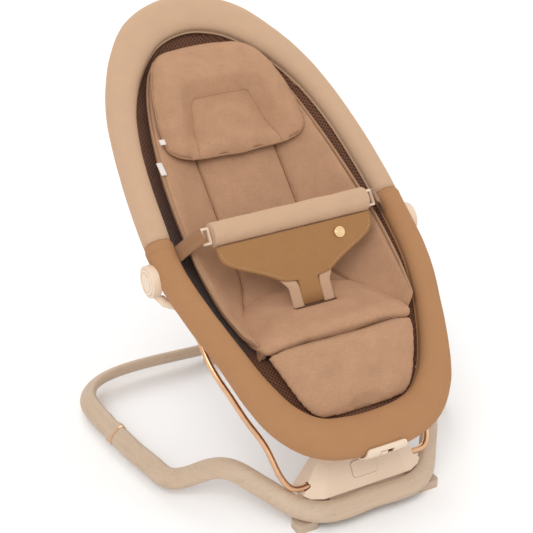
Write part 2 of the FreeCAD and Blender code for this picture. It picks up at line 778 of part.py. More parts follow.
def pad_section(along, half_wide, middle, edge, thick, edge_thick=None, power=2.0):
    """A pad's outline across the seat: its top rises from the middle to the edges."""
    edge_thick = thick if edge_thick is None else edge_thick
    bulge = 0.25 * edge_thick
    top, bottom = [], []
    for share in SPREAD:
        bend = abs(share) ** power
        height = middle + (edge - middle) * bend
        depth = thick + (edge_thick - thick) * bend
        across = share * (half_wide - bulge)
        top.append(seat(across, along, height))
        bottom.append(seat(across, along, height - depth))
    left = seat(-half_wide, along, edge - edge_thick / 2)
    right = seat(half_wide, along, edge - edge_thick / 2)
    return [left] + top + [right] + bottom[::-1]


def side_section(along, inner, inner_top, outer, outer_top):
    """A side bolster's outline: it climbs from the back panel to the rim."""
    thick = dim("pad_thick")
    bulge = 0.25 * thick
    start = seat(inner, along, inner_top - thick / 2)
    finish = seat(outer, along, outer_top - thick / 2)
    inner, outer = inner + bulge, outer - bulge
    top, bottom = [], []
    for share in (0.0, 0.25, 0.5, 0.75, 1.0):
        across = inner + (outer - inner) * share
        height = inner_top + (outer_top - inner_top) * share ** 1.6
        top.append(seat(across, along, height))
        bottom.append(seat(across, along, height - thick))
    return [start] + top + [finish] + bottom[::-1]


def make_inlay():
    thick = dim("pad_thick")
    back = [(-12, 60, -52), (40, 64, -46), (100, 64, -36), (193, 64, -22),
            (282, 63, -12), (340, 56, -7), (374, 44, -4)]
    keep("inlay_back", skin([pad_section(a, w, n, n + 1, thick) for a, w, n in back]))

    seat_pad = [(-20, 56, -50, -50, 12), (-58, 88, -26, -24, 24), (-98, 109, 3, 6, 33),
                (-128, 114, 27, 29, 37), (-148.5, 116, 41.5, 42.5, 39)]
    cushion = skin([pad_section(*row) for row in seat_pad])
    slot_low = dim("harness_along") - 7
    slot = Part.makeBox(2 * dim("anchor_half") + 2, 14, 60)
    slot.Placement = tilted(seat(-dim("anchor_half") - 1, slot_low, -10), dim("hoop_tilt"))
    keep("inlay_seat", solid(cushion.cut(slot)))

    leg = [(-150, 118, 41, 42, 38), (-172, 116, 38, 37, 33), (-202, 107, 26, 24, 22),
           (-230, 88, 14, 12, 13), (-250, 64, 5, 4, 7)]
    keep("inlay_leg", skin([pad_section(*row) for row in leg]))

    side = [(-142, 120, 34, 131, 40), (-108, 115, 4, 138, 28), (-60, 95, -28, 144, 19),
            (0, 69, -48, 146, 13), (60, 67, -42, 146, 9), (120, 67, -33, 143, 6),
            (193, 67, -22, 135, 4), (282, 66, -12, 116, 5), (340, 59, -7, 94, 6),
            (366, 50, -4, 76, 6)]
    bolster = skin([side_section(*row) for row in side])
    keep("side_pad_right", bolster)
    keep("side_pad_left", mirror_shape(bolster))

    pillow = [(192, 100, -6, 7, 12, 11), (235, 119, 5, 19, 19, 14), (282, 118, 16, 24, 24, 13),
              (330, 101, 22, 26, 25, 12), (366, 81, 20, 22, 19, 9), (384, 62, 12, 14, 9, 7)]
    keep("head_pillow", skin([pad_section(*row) for row in pillow]))

    bar = cylinder_x(dim("anchor_radius"), -dim("anchor_half"), dim("anchor_half"),
                     harness(0, 0, 0))
    keep("anchor_bar", bar)


def make_mesh(upper, lower):
    """The sling under the pads, hung from the rim's inner edge."""
    rows = [(-257, -8), (-235, -8), (-205, -3), (-175, 0), (-154, -1), (-130, -18),
            (-100, -40), (-60, -58), (-20, -72), (10, -74), (50, -66), (100, -56),
            (193, -42), (282, -34), (350, -30), (385, -25), (413, -14)]
    sections = []
    for along, middle in rows:
        half = rim_inner_width(upper, lower, along) - 1.5
        top = [seat(share * half, along, middle + (-5 - middle) * abs(share) ** 3.5)
               for share in SLING_SPREAD]
        drop = seat(0, 0, -dim("mesh_thick")) - SEAT_ORIGIN
        ring = top + [point + drop for point in top[::-1]]
        sections.append(Part.makePolygon(ring + ring[:1]))
    keep("seat_mesh", solid(Part.makeLoft(sections, True, True)))


def make_straps():
    """Short webs that tie the belt roll's clips to the rim."""
    start = dim("roll_long") / 2 + dim("clip_wide") + 4.5
    low_along = 40 - dim("strap_wide") / 2
    thick = dim("strap_thick")
    outline = [(start, 46), (start, 46 + thick), (168, 13 + thick), (168, 13)]
    corners = [seat(x, low_along, n) for x, n in outline]
    face = Part.Face(Part.makePolygon(corners + corners[:1]))
    along = seat(0, 1, 0) - seat(0, 0, 0)
    strap = face.extrude(along * dim("strap_wide"))
    keep("strap_right", solid(strap))
    keep("strap_left", solid(mirror_shape(strap)))


def make_badge(lower):
    """The foot badge, a shield that hugs the rim, and the little slider in it."""
    run = [s for s in stations(lower, 181) if abs(s[0].x) < 52]
    outer = loft([rim_section(p, d, dim("badge_thick")) for p, d in run])
    inner = loft([rim_section(p, d, 0.3) for p, d in run])
    low, high = dim("badge_low"), dim("badge_high")
    view = V(0, -1, 0.35).normalize()
    centre = seat(0, -318, -3)
    rise = V(0, 0.35, 1).normalize()
    corners = [V(-low, 0, -11), V(low, 0, -11), V(low - 3, 0, 2), V(high, 0, 11),
               V(-high, 0, 11), V(-low + 3, 0, 2)]
    points = [centre + V(c.x, 0, 0) + rise * c.z - view * 25 for c in corners]
    prism = Part.Face(Part.makePolygon(points + points[:1])).extrude(view * 60)
    edges = [e for e in prism.Edges
             if abs(abs((e.Vertexes[-1].Point - e.Vertexes[0].Point).normalize().dot(view)) - 1)
             < 0.001]
    prism = prism.makeFillet(5.0, edges)
    badge = max(outer.cut(inner).common(prism).Solids, key=lambda s: s.Volume)

    turn = math.degrees(math.atan2(1, 0.35))
    slot = Part.makeBox(dim("slider_slot"), dim("slider_tall"), 30)
    slot.Placement = tilted(centre - V(dim("slider_slot") / 2, 0, 0)
                            - rise * dim("slider_tall") / 2 - view * 2, turn)
    outer_slider = loft([rim_section(p, d, dim("badge_thick") + 1.2) for p, d in run])
    key = Part.makeBox(dim("slider_wide"), dim("slider_tall") - 1, 30)
    key.Placement = tilted(centre - V(dim("slider_slot") / 2 - 0.5, 0, 0)
                           - rise * (dim("slider_tall") / 2 - 0.5) - view * 2, turn)
    keep("foot_badge", solid(badge.cut(slot)))
    thumb = outer_slider.cut(loft([rim_section(p, d, 1.0) for p, d in run])).common(key)
    keep("lock_slider", max(thumb.Solids, key=lambda s: s.Volume))


def make_labels():
    """Two small blank cloth labels sewn into the pads' left edges."""
    for name, along, across, lift in (("pillow", 218, -125, 17), ("inlay", 176, -139, 6)):
        label = Part.makeBox(12, 22, 0.8)
        label.Placement = tilted(seat(across - 6, along - 11, lift), dim("hoop_tilt"))
        keep(f"label_{name}", label)


# ---------------------------------------------------------------- harness
def make_harness():
    thick = dim("panel_thick")
    outline = [(33, 7), (33, 26), (44, 44), (74, 62), (110, 78), (124, 92),
               (126, dim("panel_top"))]
    start = V(0, 0, 0)
    right = [V(x, up, 0) for x, up in outline]
    curve = curve_through(right[1:6]).toShape()
    segments = [Part.LineSegment(right[0], right[1]).toShape(), curve,
                Part.LineSegment(right[5], right[6]).toShape()]
    mirrored = [mirror_shape(s) for s in segments]
    top = Part.LineSegment(right[6], V(-right[6].x, right[6].y, 0)).toShape()
    foot = Part.LineSegment(V(-right[0].x, right[0].y, 0), right[0]).toShape()
    whole = Part.Wire(Part.__sortEdges__(segments + mirrored + [top, foot]))
    sheet_face = Part.Face(whole)
    sheet_face.Placement = tilted(harness(0, 0, -thick / 2), HARNESS_TURN)
    normal = harness(0, 0, 1) - harness(0, 0, 0)
    cloth = sheet_face.extrude(normal * thick)

    gap = 0.1
    loop = cylinder_x(dim("loop_radius"), -dim("loop_half"), dim("loop_half"), harness(0, 0, 0))
    bore = cylinder_x(dim("anchor_radius") + gap, -40, 40, harness(0, 0, 0))
    tail = Part.makeBox(2 * dim("loop_half"), 10, thick)
    tail.Placement = tilted(harness(-dim("loop_half"), 0, -thick / 2), HARNESS_TURN)
    web = cloth.fuse([loop, tail]).cut(bore)
    slit_tool = Part.makeBox(0.8, 50, 12)
    slits = []
    for across in (-17, 17):
        slit = slit_tool.copy()
        slit.Placement = tilted(harness(across - 0.4, -8, -6), HARNESS_TURN)
        slits.append(slit)
    column = Part.makeBox(33.2, 50, 12)
    column.Placement = tilted(harness(-16.6, -8, -6), HARNESS_TURN)
    wide_column = Part.makeBox(34.8, 50, 12)
    wide_column.Placement = tilted(harness(-17.4, -8, -6), HARNESS_TURN)
    lower_zone = Part.makeBox(90, 50, 12)
    lower_zone.Placement = tilted(harness(-45, -8, -6), HARNESS_TURN)
    bands = web.common(lower_zone).cut(wide_column)
    right_band = max(bands.Solids, key=lambda s: s.CenterOfMass.x)
    left_band = min(bands.Solids, key=lambda s: s.CenterOfMass.x)
    edge_gap = Part.makeBox(90, 0.8, 12)
    edge_gap.Placement = tilted(harness(-45, 42, -6), HARNESS_TURN)
    sides = lower_zone.cut(wide_column)
    gap_zone = edge_gap.cut(wide_column)
    panel = web.cut([sides, gap_zone] + slits)
    keep("crotch_panel", max(panel.Solids, key=lambda s: s.Volume))
    keep("crotch_band_right", right_band)
    keep("crotch_band_left", left_band)

    roll = doc.addObject("Part::Cylinder", "belt_roll")
    roll.setExpression("Radius", "dims.roll_radius")
    roll.setExpression("Height", "dims.roll_long")
    axis = harness(-dim("roll_long") / 2, dim("roll_up"), dim("roll_drop"))
    roll.Placement = FreeCAD.Placement(axis, FreeCAD.Rotation(V(0, 1, 0), 90))
    keep("belt_roll", roll)

    for name, side in (("left", -1), ("right", 1)):
        clip = new_body(f"clip_{name}")
        sketch = new_sketch(clip, "XY_Plane", f"clip_{name}_outline")
        draw_rectangle(sketch, "clip_wide", "clip_tall")
        draw_rectangle(sketch, "clip_wide", "clip_tall", dim("clip_bar"))
        pad = add_pad(clip, sketch, "dims.clip_thick")
        outer = [n for n in upright_edges(clip.Shape, V(0, 0, 1))
                 if abs(clip.Shape.getElement(n).CenterOfMass.x) > dim("clip_wide") / 2 - 0.1]
        add_fillet(clip, pad, outer, "1.5")
        across = side * (dim("roll_long") / 2 + 1 + dim("clip_wide") / 2)
        low = dim("roll_drop") - dim("clip_thick") / 2
        clip.Placement = tilted(harness(across, dim("roll_up"), low), HARNESS_TURN)
        keep(f"clip_{name}", clip)

    snap = new_body("snap_button")
    sketch = new_sketch(snap, "XY_Plane", "snap_outline")
    draw_circle(sketch, "snap_radius")
    pad = add_pad(snap, sketch, "dims.snap_thick")
    add_fillet(snap, pad, face_rim_edges(snap.Shape, V(0, 0, 1)), "0.8")
    snap.Placement = tilted(harness(68, 93, thick / 2), HARNESS_TURN)
    keep("snap_button", snap)


# ---------------------------------------------------------------- assembly
make_base()
make_housing()
make_spindle()
make_hubs(*make_wire())
upper_edge, lower_edge = make_hoop()
make_inlay()
make_mesh(upper_edge, lower_edge)
make_straps()
make_badge(lower_edge)
make_labels()
make_harness()

doc.recompute()
for item in doc.Objects:
    if "Invalid" in item.State or "Error" in item.State:
        raise RuntimeError(f"{item.Label} failed: {item.State}")
for label, piece in pieces.items():
    if piece.Shape.isNull() or not piece.Shape.isValid():
        raise RuntimeError(f"{label} has no valid shape")
for label, piece in pieces.items():
    piece.Shape.exportStep(f"parts/{label}.step")
whole = Part.makeCompound([piece.Shape for piece in pieces.values()]).BoundBox
print(len(pieces), "pieces; X", round(whole.XMin, 1), round(whole.XMax, 1),
      "Y", round(whole.YMin, 1), round(whole.YMax, 1), "Z", round(whole.ZMin, 1), round(whole.ZMax, 1))
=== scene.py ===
import json
import math

import bmesh
import bpy
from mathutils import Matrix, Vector, noise
from mathutils.bvhtree import BVHTree


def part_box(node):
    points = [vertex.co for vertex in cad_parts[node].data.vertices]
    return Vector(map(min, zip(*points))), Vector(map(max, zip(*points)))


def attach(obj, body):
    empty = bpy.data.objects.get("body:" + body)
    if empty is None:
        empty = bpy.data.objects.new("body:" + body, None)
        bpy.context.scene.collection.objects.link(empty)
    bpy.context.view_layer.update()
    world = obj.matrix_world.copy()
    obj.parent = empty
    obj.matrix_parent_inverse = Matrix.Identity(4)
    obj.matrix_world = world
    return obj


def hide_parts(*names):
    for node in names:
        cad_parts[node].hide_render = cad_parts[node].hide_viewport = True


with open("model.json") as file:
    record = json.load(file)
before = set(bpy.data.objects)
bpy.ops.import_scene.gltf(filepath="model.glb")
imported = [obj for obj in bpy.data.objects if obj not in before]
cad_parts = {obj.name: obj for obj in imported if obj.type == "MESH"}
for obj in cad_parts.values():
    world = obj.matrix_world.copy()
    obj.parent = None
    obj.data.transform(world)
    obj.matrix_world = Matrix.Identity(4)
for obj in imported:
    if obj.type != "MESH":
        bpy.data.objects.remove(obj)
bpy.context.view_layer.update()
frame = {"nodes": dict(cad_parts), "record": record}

# Bouncer seat. Metres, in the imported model's own frame. Most soft pieces are laid out in the
# hoop plane: across the seat, along it towards the head, and lift above the plane.

MM = 0.001
TILT = math.radians(35)
SEAT_Y, SEAT_Z = -0.0655, 0.307
LEAN = TILT + math.radians(21.7)


# ---- frames of reference
def seat(across, along, lift):
    """A point in the hoop plane's own directions, given in millimetres."""
    y = SEAT_Y + MM * (along * math.cos(TILT) - lift * math.sin(TILT))
    z = SEAT_Z + MM * (along * math.sin(TILT) + lift * math.cos(TILT))
    return Vector((MM * across, y, z))


SEAT_UP = Vector((0, -math.sin(TILT), math.cos(TILT)))
SEAT_ALONG = Vector((0, math.cos(TILT), math.sin(TILT)))
ACROSS = Vector((1, 0, 0))
SIDES = (("left", -1), ("right", 1))
SLOT_ALONG = -84
ANCHOR = seat(0, SLOT_ALONG, -3)
PANEL_UP = Vector((0, math.cos(LEAN), math.sin(LEAN)))
PANEL_OFF = Vector((0, -math.sin(LEAN), math.cos(LEAN)))


def panel(across, up, off):
    """A point on the crotch panel: up it from the anchor bar, off its face, in millimetres."""
    return ANCHOR + ACROSS * across * MM + PANEL_UP * up * MM + PANEL_OFF * off * MM


def seat_coordinates(point):
    """The reverse of seat()."""
    rel = point - seat(0, 0, 0)
    return point.x / MM, rel.dot(SEAT_ALONG) / MM, rel.dot(SEAT_UP) / MM


# ---- numbers and curves
def catmull(rows, count, closed=False):
    """Evenly indexed stations on a smooth curve through rows of numbers."""
    rows = [tuple(row) for row in rows]
    total = len(rows) if closed else len(rows) - 1
    found = []
    for step in range(count):
        place = total * step / (count if closed else count - 1)
        here = min(int(place), total - 1)
        t = place - here
        picks = []
        for offset in (-1, 0, 1, 2):
            index = here + offset
            index = index % len(rows) if closed else min(max(index, 0), len(rows) - 1)
            picks.append(rows[index])
        a, b, c, d = picks
        found.append(tuple(
            0.5 * (2 * b[k] + (c[k] - a[k]) * t + (2 * a[k] - 5 * b[k] + 4 * c[k] - d[k]) * t * t
                   + (3 * b[k] - a[k] - 3 * c[k] + d[k]) * t ** 3) for k in range(len(b))))
    return found


def profile_at(rows, key):
    """Values at a key from rows sorted by their first number, eased between rows."""
    rows = sorted(rows)
    if key <= rows[0][0]:
        return rows[0][1:]
    for low, high in zip(rows, rows[1:]):
        if key <= high[0]:
            t = (key - low[0]) / (high[0] - low[0])
            index = rows.index(low)
            before = rows[max(index - 1, 0)]
            after = rows[min(index + 2, len(rows) - 1)]
            span = high[0] - low[0]
            values = []
            for k in range(1, len(low)):
                into = span * (high[k] - before[k]) / (high[0] - before[0])
                out = span * (after[k] - low[k]) / (after[0] - low[0])
                values.append((2 * t ** 3 - 3 * t * t + 1) * low[k] + (t ** 3 - 2 * t * t + t) * into
                              + (3 * t * t - 2 * t ** 3) * high[k] + (t ** 3 - t * t) * out)
            return values
    return rows[-1][1:]


def smooth(value, low, high):
    t = min(max((value - low) / (high - low), 0.0), 1.0)
    return t * t * (3 - 2 * t)


def wobble(point, scale, seed=0.0):
    """Smooth noise from -1 to 1, the same on every run."""
    return noise.noise(Vector(point) / scale + Vector((seed, seed * 1.7, seed * 0.3)))


# ---- meshes
DROP_HEIGHT = 0.15
PUFF_PRESSURE = 4.0
PUFF_FRAMES = 20
CLOTH_STRETCH, CLOTH_SHEAR, CLOTH_BEND = 25, 12, 2.0


def new_object(name, verts, faces, material):
    mesh = bpy.data.meshes.new(name)
    mesh.from_pydata([tuple(v) for v in verts], [], faces)
    mesh.validate()
    obj = bpy.data.objects.new(name, mesh)
    bpy.context.scene.collection.objects.link(obj)
    if material is not None:
        mesh.materials.append(material)
    for face in mesh.polygons:
        face.use_smooth = True
    return obj


def recalc(obj):
    bm = bmesh.new()
    bm.from_mesh(obj.data)
    bmesh.ops.remove_doubles(bm, verts=bm.verts, dist=1e-6)
    bmesh.ops.recalc_face_normals(bm, faces=bm.faces)
    bm.to_mesh(obj.data)
    bm.free()
    for face in obj.data.polygons:
        face.use_smooth = True
    return obj


def grid_object(name, rows, material, ring=False, caps=False, keep_face=None):
    """A surface through rows of points. With ring, each row closes on itself."""
    wide = len(rows[0])
    verts = [point for row in rows for point in row]
    faces = []
    for j in range(len(rows) - 1):
        for i in range(wide if ring else wide - 1):
            after = (i + 1) % wide
            if keep_face is None or keep_face(i, j):
                faces.append((j * wide + i, j * wide + after,
                              (j + 1) * wide + after, (j + 1) * wide + i))
    if caps:
        faces.append(tuple(range(wide))[::-1])
        faces.append(tuple((len(rows) - 1) * wide + i for i in range(wide)))
    return recalc(new_object(name, verts, faces, material))


def apply_modifiers(obj):
    depsgraph = bpy.context.evaluated_depsgraph_get()
    mesh = bpy.data.meshes.new_from_object(obj.evaluated_get(depsgraph))
    obj.modifiers.clear()
    obj.data = mesh
    for face in mesh.polygons:
        face.use_smooth = True
    return obj


def solidify(obj, thickness, offset, even=True):
    modifier = obj.modifiers.new("thickness", "SOLIDIFY")
    modifier.thickness = thickness
    modifier.offset = offset
    modifier.use_even_offset = even
    return apply_modifiers(obj)


def thicken_down(obj, thickness, direction):
    """Closes a sheet into a slab whose underside is the same sheet moved straight down."""
    bm = bmesh.new()
    bm.from_mesh(obj.data)
    rim = [(e.verts[0].index, e.verts[1].index) for e in bm.edges if e.is_boundary]
    top = list(bm.verts)
    under = [bm.verts.new(v.co - direction * thickness) for v in top]
    for face in list(bm.faces):
        bm.faces.new([under[v.index] for v in reversed(face.verts)])
    for a, b in rim:
        bm.faces.new((top[a], top[b], under[b], under[a]))
    bmesh.ops.recalc_face_normals(bm, faces=bm.faces)
    bm.to_mesh(obj.data)
    bm.free()
    return obj


def reshape(obj, move):
    """Moves each vertex by a function of its point and normal."""
    mesh = obj.data
    moved = [v.co + move(v.co.copy(), v.normal.copy()) for v in mesh.vertices]
    for vertex, place in zip(mesh.vertices, moved):
        vertex.co = place
    mesh.update()
    return obj


def inflate(obj, voxel, cap):
    """Puffs a closed pad as stuffed cloth: voxel remesh, pressure cloth, a cap on movement."""
    remesh = obj.modifiers.new("voxels", "REMESH")
    remesh.mode = "VOXEL"
    remesh.voxel_size = voxel
    apply_modifiers(obj)
    start = [v.co.copy() for v in obj.data.vertices]
    cloth = obj.modifiers.new("cloth", "CLOTH")
    settings = cloth.settings
    settings.quality = 5
    settings.use_pressure = True
    settings.uniform_pressure_force = PUFF_PRESSURE
    settings.effector_weights.gravity = 0
    settings.tension_stiffness = settings.compression_stiffness = CLOTH_STRETCH
    settings.shear_stiffness = CLOTH_SHEAR
    settings.bending_stiffness = CLOTH_BEND
    cloth.point_cache.frame_start = 1
    cloth.point_cache.frame_end = PUFF_FRAMES
    scene = bpy.context.scene
    for number in range(1, PUFF_FRAMES + 1):
        scene.frame_set(number)
    apply_modifiers(obj)
    scene.frame_set(1)
    for vertex, place in zip(obj.data.vertices, start):
        step = vertex.co - place
        if step.length > cap:
            vertex.co = place + step.normalized() * cap
    obj.data.update()
    relax = obj.modifiers.new("relax", "SMOOTH")
    relax.factor = 0.5
    relax.iterations = 4
    apply_modifiers(obj)
    finer = obj.modifiers.new("smooth", "SUBSURF")
    finer.levels = finer.render_levels = 1
    apply_modifiers(obj)


def tube_along(name, points, radius, material, closed=False, sides=10):
    """A round cord of cloth or wire through points, such as a piping."""
    count = len(points)
    rows = []
    previous = None
    for n in range(count):
        before = points[(n - 1) % count] if closed or n else points[0]
        after = points[(n + 1) % count] if closed or n < count - 1 else points[-1]
        heading = (after - before).normalized()
        if previous is None:
            hint = SEAT_UP if abs(heading.dot(SEAT_UP)) < 0.9 else ACROSS
            previous = (hint - heading * hint.dot(heading)).normalized()
        else:
            previous = (previous - heading * previous.dot(heading)).normalized()
        side = heading.cross(previous)
        rows.append([points[n] + (previous * math.cos(a) + side * math.sin(a)) * radius
                     for a in (2 * math.pi * k / sides for k in range(sides))])
    if closed:
        rows.append(rows[0])
    return grid_object(name, rows, material, ring=True, caps=not closed)


def stitches(name, points, material, length, gap, radius, lift=None):
    """A row of thread stitches, each a small rounded rod lying along the points."""
    marks = [0.0]
    for here, there in zip(points, points[1:]):
        marks.append(marks[-1] + (there - here).length / MM)

    def point_at(reach):
        index = max(k for k in range(len(marks)) if marks[k] <= reach)
        index = min(index, len(points) - 2)
        share = (reach - marks[index]) / max(marks[index + 1] - marks[index], 1e-9)
        return points[index].lerp(points[index + 1], share)

    verts, faces = [], []
    reach = gap / 2
    while reach + length < marks[-1]:
        start, end = point_at(reach), point_at(reach + length)
        add_stitch(verts, faces, start, (end - start).normalized(), length * MM, radius * MM, lift)
        reach += length + gap
    return new_object(name, verts, faces, material)


def add_stitch(verts, faces, start, heading, length, radius, lift):
    up = SEAT_UP if lift is None else lift
    up = (up - heading * up.dot(heading)).normalized()
    side = heading.cross(up)
    base = len(verts)
    for share, swell in ((0.0, 0.3), (0.2, 1.0), (0.8, 1.0), (1.0, 0.3)):
        centre = start + heading * length * share
        for k in range(6):
            angle = math.pi * k / 3
            verts.append(centre + (side * math.cos(angle) + up * math.sin(angle)) * radius * swell)
    for ring in range(3):
        for k in range(6):
            a, b = base + ring * 6 + k, base + ring * 6 + (k + 1) % 6
            faces.append((a, b, b + 6, a + 6))
    faces.append(tuple(base + k for k in range(6))[::-1])
    faces.append(tuple(base + 18 + k for k in range(6)))


def corners(node):
    """The low and high corners of a carried-over node's box."""
    return (Vector(corner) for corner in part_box(node))


def surface_of(obj):
    return BVHTree.FromObject(obj, bpy.context.evaluated_depsgraph_get())


def dropped(tree, points, direction=None, off=0.0):
    """Where points dropped onto a piece meet it, held off its face a little. Misses are left out."""
    direction = -SEAT_UP if direction is None else direction
    hits = [tree.ray_cast(point - direction * DROP_HEIGHT, direction)[0] for point in points]
    return [hit - direction * off for hit in hits if hit is not None]


# ---- materials
THREAD_PITCH, TAPE_PITCH, MESH_PITCH = 0.0011, 0.0016, 0.0042


class Nodes:
    """A short way to wire a node tree."""

    def __init__(self, name):
        self.material = bpy.data.materials.new(name)
        self.material.use_nodes = True
        self.tree = self.material.node_tree
        self.shader = self.tree.nodes["Principled BSDF"]
        self.place = self.add("ShaderNodeTexCoord").outputs["Object"]

    def add(self, kind, **values):
        node = self.tree.nodes.new(kind)
        for key, value in values.items():
            setattr(node, key, value)
        return node

    def link(self, source, target):
        self.tree.links.new(source, target)

    def seat_place(self):
        """Object coordinates turned into the hoop plane."""
        turn = self.add("ShaderNodeMapping")
        turn.inputs["Rotation"].default_value = (-TILT, 0, 0)
        self.link(self.place, turn.inputs["Vector"])
        return turn.outputs["Vector"]

    def noise(self, scale, detail=3.0, rough=0.5, vector=None):
        node = self.add("ShaderNodeTexNoise")
        node.inputs["Scale"].default_value = scale
        node.inputs["Detail"].default_value = detail
        node.inputs["Roughness"].default_value = rough
        self.link(self.place if vector is None else vector, node.inputs["Vector"])
        return node.outputs["Fac"]

    def ramp(self, source, stops):
        node = self.add("ShaderNodeValToRGB")
        ramp = node.color_ramp
        while len(ramp.elements) < len(stops):
            ramp.elements.new(0.5)
        for element, (place, colour) in zip(ramp.elements, stops):
            element.position = place
            element.color = (*colour, 1)
        self.link(source, node.inputs["Fac"])
        return node.outputs["Color"]

    def maths(self, operation, a, b=None):
        node = self.add("ShaderNodeMath", operation=operation)
        for socket, value in zip(node.inputs, (a, b)):
            if value is None:
                continue
            if isinstance(value, (int, float)):
                socket.default_value = value
            else:
                self.link(value, socket)
        return node.outputs[0]

    def bump(self, heights):
        """Chains bumps given as (height, distance in metres, strength)."""
        normal = None
        for height, distance, strength in heights:
            node = self.add("ShaderNodeBump")
            node.inputs["Distance"].default_value = distance
            node.inputs["Strength"].default_value = strength
            self.link(height, node.inputs["Height"])
            if normal is not None:
                self.link(normal, node.inputs["Normal"])
            normal = node.outputs["Normal"]
        self.link(normal, self.shader.inputs["Normal"])

    def set(self, name, value):
        self.shader.inputs[name].default_value = value

    def colour(self, socket):
        self.link(socket, self.shader.inputs["Base Color"])

    def rough(self, source, low, high):
        node = self.add("ShaderNodeMapRange")
        node.inputs["To Min"].default_value = low
        node.inputs["To Max"].default_value = high
        self.link(source, node.inputs["Value"])
        self.link(node.outputs[0], self.shader.inputs["Roughness"])


def srgb(red, green, blue):
    """Linear colour from display values, 0 to 255."""
    parts = []
    for value in (red, green, blue):
        share = value / 255
        parts.append(share / 12.92 if share <= 0.04045 else ((share + 0.055) / 1.055) ** 2.4)
    return tuple(parts)


def shade(colour, amount):
    return tuple(min(part * amount, 1.0) for part in colour)


def thread_waves(nodes, pitch, axes):
    """A sine wave of the given pitch along each named axis of the hoop plane."""
    split = nodes.add("ShaderNodeSeparateXYZ")
    nodes.link(nodes.seat_place(), split.inputs[0])
    rate = 2 * math.pi / pitch
    return [nodes.maths("SINE", nodes.maths("MULTIPLY", split.outputs[axis], rate))
            for axis in axes]


def weave_height(nodes):
    """Crossed threads in the hoop plane, as a height."""
    warp, weft, depth = thread_waves(nodes, THREAD_PITCH, "XYZ")
    return nodes.maths("ADD", nodes.maths("MULTIPLY", warp, weft), depth)


def fabric(name, colour, mottle, fuzz=0.5, sheen=0.35, crease=0.0):
    """Woven or brushed cloth: mottled yarn colour, thread relief, soft sheen."""
    nodes = Nodes(name)
    cloudy = nodes.noise(38.0, 4.0, 0.6)
    yarn = nodes.noise(520.0, 2.0, 0.7)
    speck = nodes.noise(1500.0, 1.0, 0.5)
    blend = nodes.maths("ADD", nodes.maths("MULTIPLY", cloudy, 0.35),
                        nodes.maths("ADD", nodes.maths("MULTIPLY", yarn, 0.45),
                                    nodes.maths("MULTIPLY", speck, 0.2)))
    stops = [(0.30, shade(colour, 1 - 1.6 * mottle)), (0.50, colour),
             (0.72, shade(colour, 1 + 1.3 * mottle))]
    nodes.colour(nodes.ramp(blend, stops))
    nodes.rough(yarn, 0.78, 0.95)
    nodes.set("Sheen Weight", sheen)
    nodes.set("Sheen Roughness", 0.55)
    nodes.set("Sheen Tint", (*shade(colour, 1.25), 1))
    nodes.set("Specular IOR Level", 0.25)
    heights = [(weave_height(nodes), 0.00012, fuzz), (yarn, 0.0004, 0.45 * fuzz)]
    if crease:
        heights.append((nodes.noise(26.0, 2.0, 0.5), 0.003, crease))
    nodes.bump(heights)
    return nodes.material


def spacer_mesh(name, thread, hole_shade):
    """Honeycomb air mesh: staggered round holes between raised threads, with painted shade darkening
    the holes and the thread round them.
    """
    nodes = Nodes(name)
    turned = nodes.add("ShaderNodeMapping")
    turned.inputs["Rotation"].default_value = (0, 0, math.radians(45))
    turned.inputs["Scale"].default_value = (1.0, 1.0, 0.0)
    nodes.link(nodes.seat_place(), turned.inputs["Vector"])
    cells = nodes.add("ShaderNodeTexVoronoi", voronoi_dimensions="2D")
    cells.inputs["Scale"].default_value = 1 / MESH_PITCH
    cells.inputs["Randomness"].default_value = 0.0
    nodes.link(turned.outputs["Vector"], cells.inputs["Vector"])
    distance = cells.outputs["Distance"]
    # the holes get a near-black painted shade and the thread at their edges a painted shaded rim,
    # standing in for depth the flat sheet does not have
    nodes.colour(nodes.ramp(distance, [(0.26, hole_shade), (0.38, shade(thread, 0.8)), (0.6, thread)]))
    nodes.rough(distance, 0.6, 0.8)
    nodes.set("Sheen Weight", 0.2)
    nodes.bump([(distance, 0.0015, 0.9), (nodes.noise(1400.0), 0.0003, 0.4)])
    return nodes.material


def webbing(name, colour):
    """Narrow tape with ribs across it, with painted shade in the valleys between the ribs."""
    nodes = Nodes(name)
    cross, ribs = thread_waves(nodes, TAPE_PITCH, "XY")
    height = nodes.maths("ADD", ribs, nodes.maths("MULTIPLY", cross, 0.6))
    grain = nodes.noise(900.0)
    # colour follows the grain and also the rib height: painted shade in the low rib valleys, lighter
    # on the rib tops
    grain_and_rib_shade = nodes.maths("ADD", nodes.maths("MULTIPLY", height, 0.12), grain)
    nodes.colour(nodes.ramp(grain_and_rib_shade, [(0.25, shade(colour, 0.72)), (0.5, colour),
                                   (0.8, shade(colour, 1.12))]))
    nodes.rough(grain, 0.7, 0.9)
    nodes.set("Sheen Weight", 0.25)
    nodes.bump([(height, 0.0003, 0.8), (grain, 0.0002, 0.4)])
    return nodes.material


def plastic(name, colour, rough=0.42, grain=0.25, coat=0.0):
    """Moulded plastic: fine spark texture, faint cloudiness and handling marks."""
    nodes = Nodes(name)
    cloud = nodes.noise(9.0, 3.0, 0.5)
    spark = nodes.noise(1700.0, 2.0, 0.6)
    nodes.colour(nodes.ramp(cloud, [(0.3, shade(colour, 0.965)), (0.7, shade(colour, 1.02))]))
    nodes.rough(nodes.noise(60.0, 4.0, 0.65), rough - 0.07, rough + 0.1)
    nodes.set("Specular IOR Level", 0.45)
    nodes.set("Coat Weight", coat)
    nodes.bump([(spark, 0.00015, grain)])
    return nodes.material


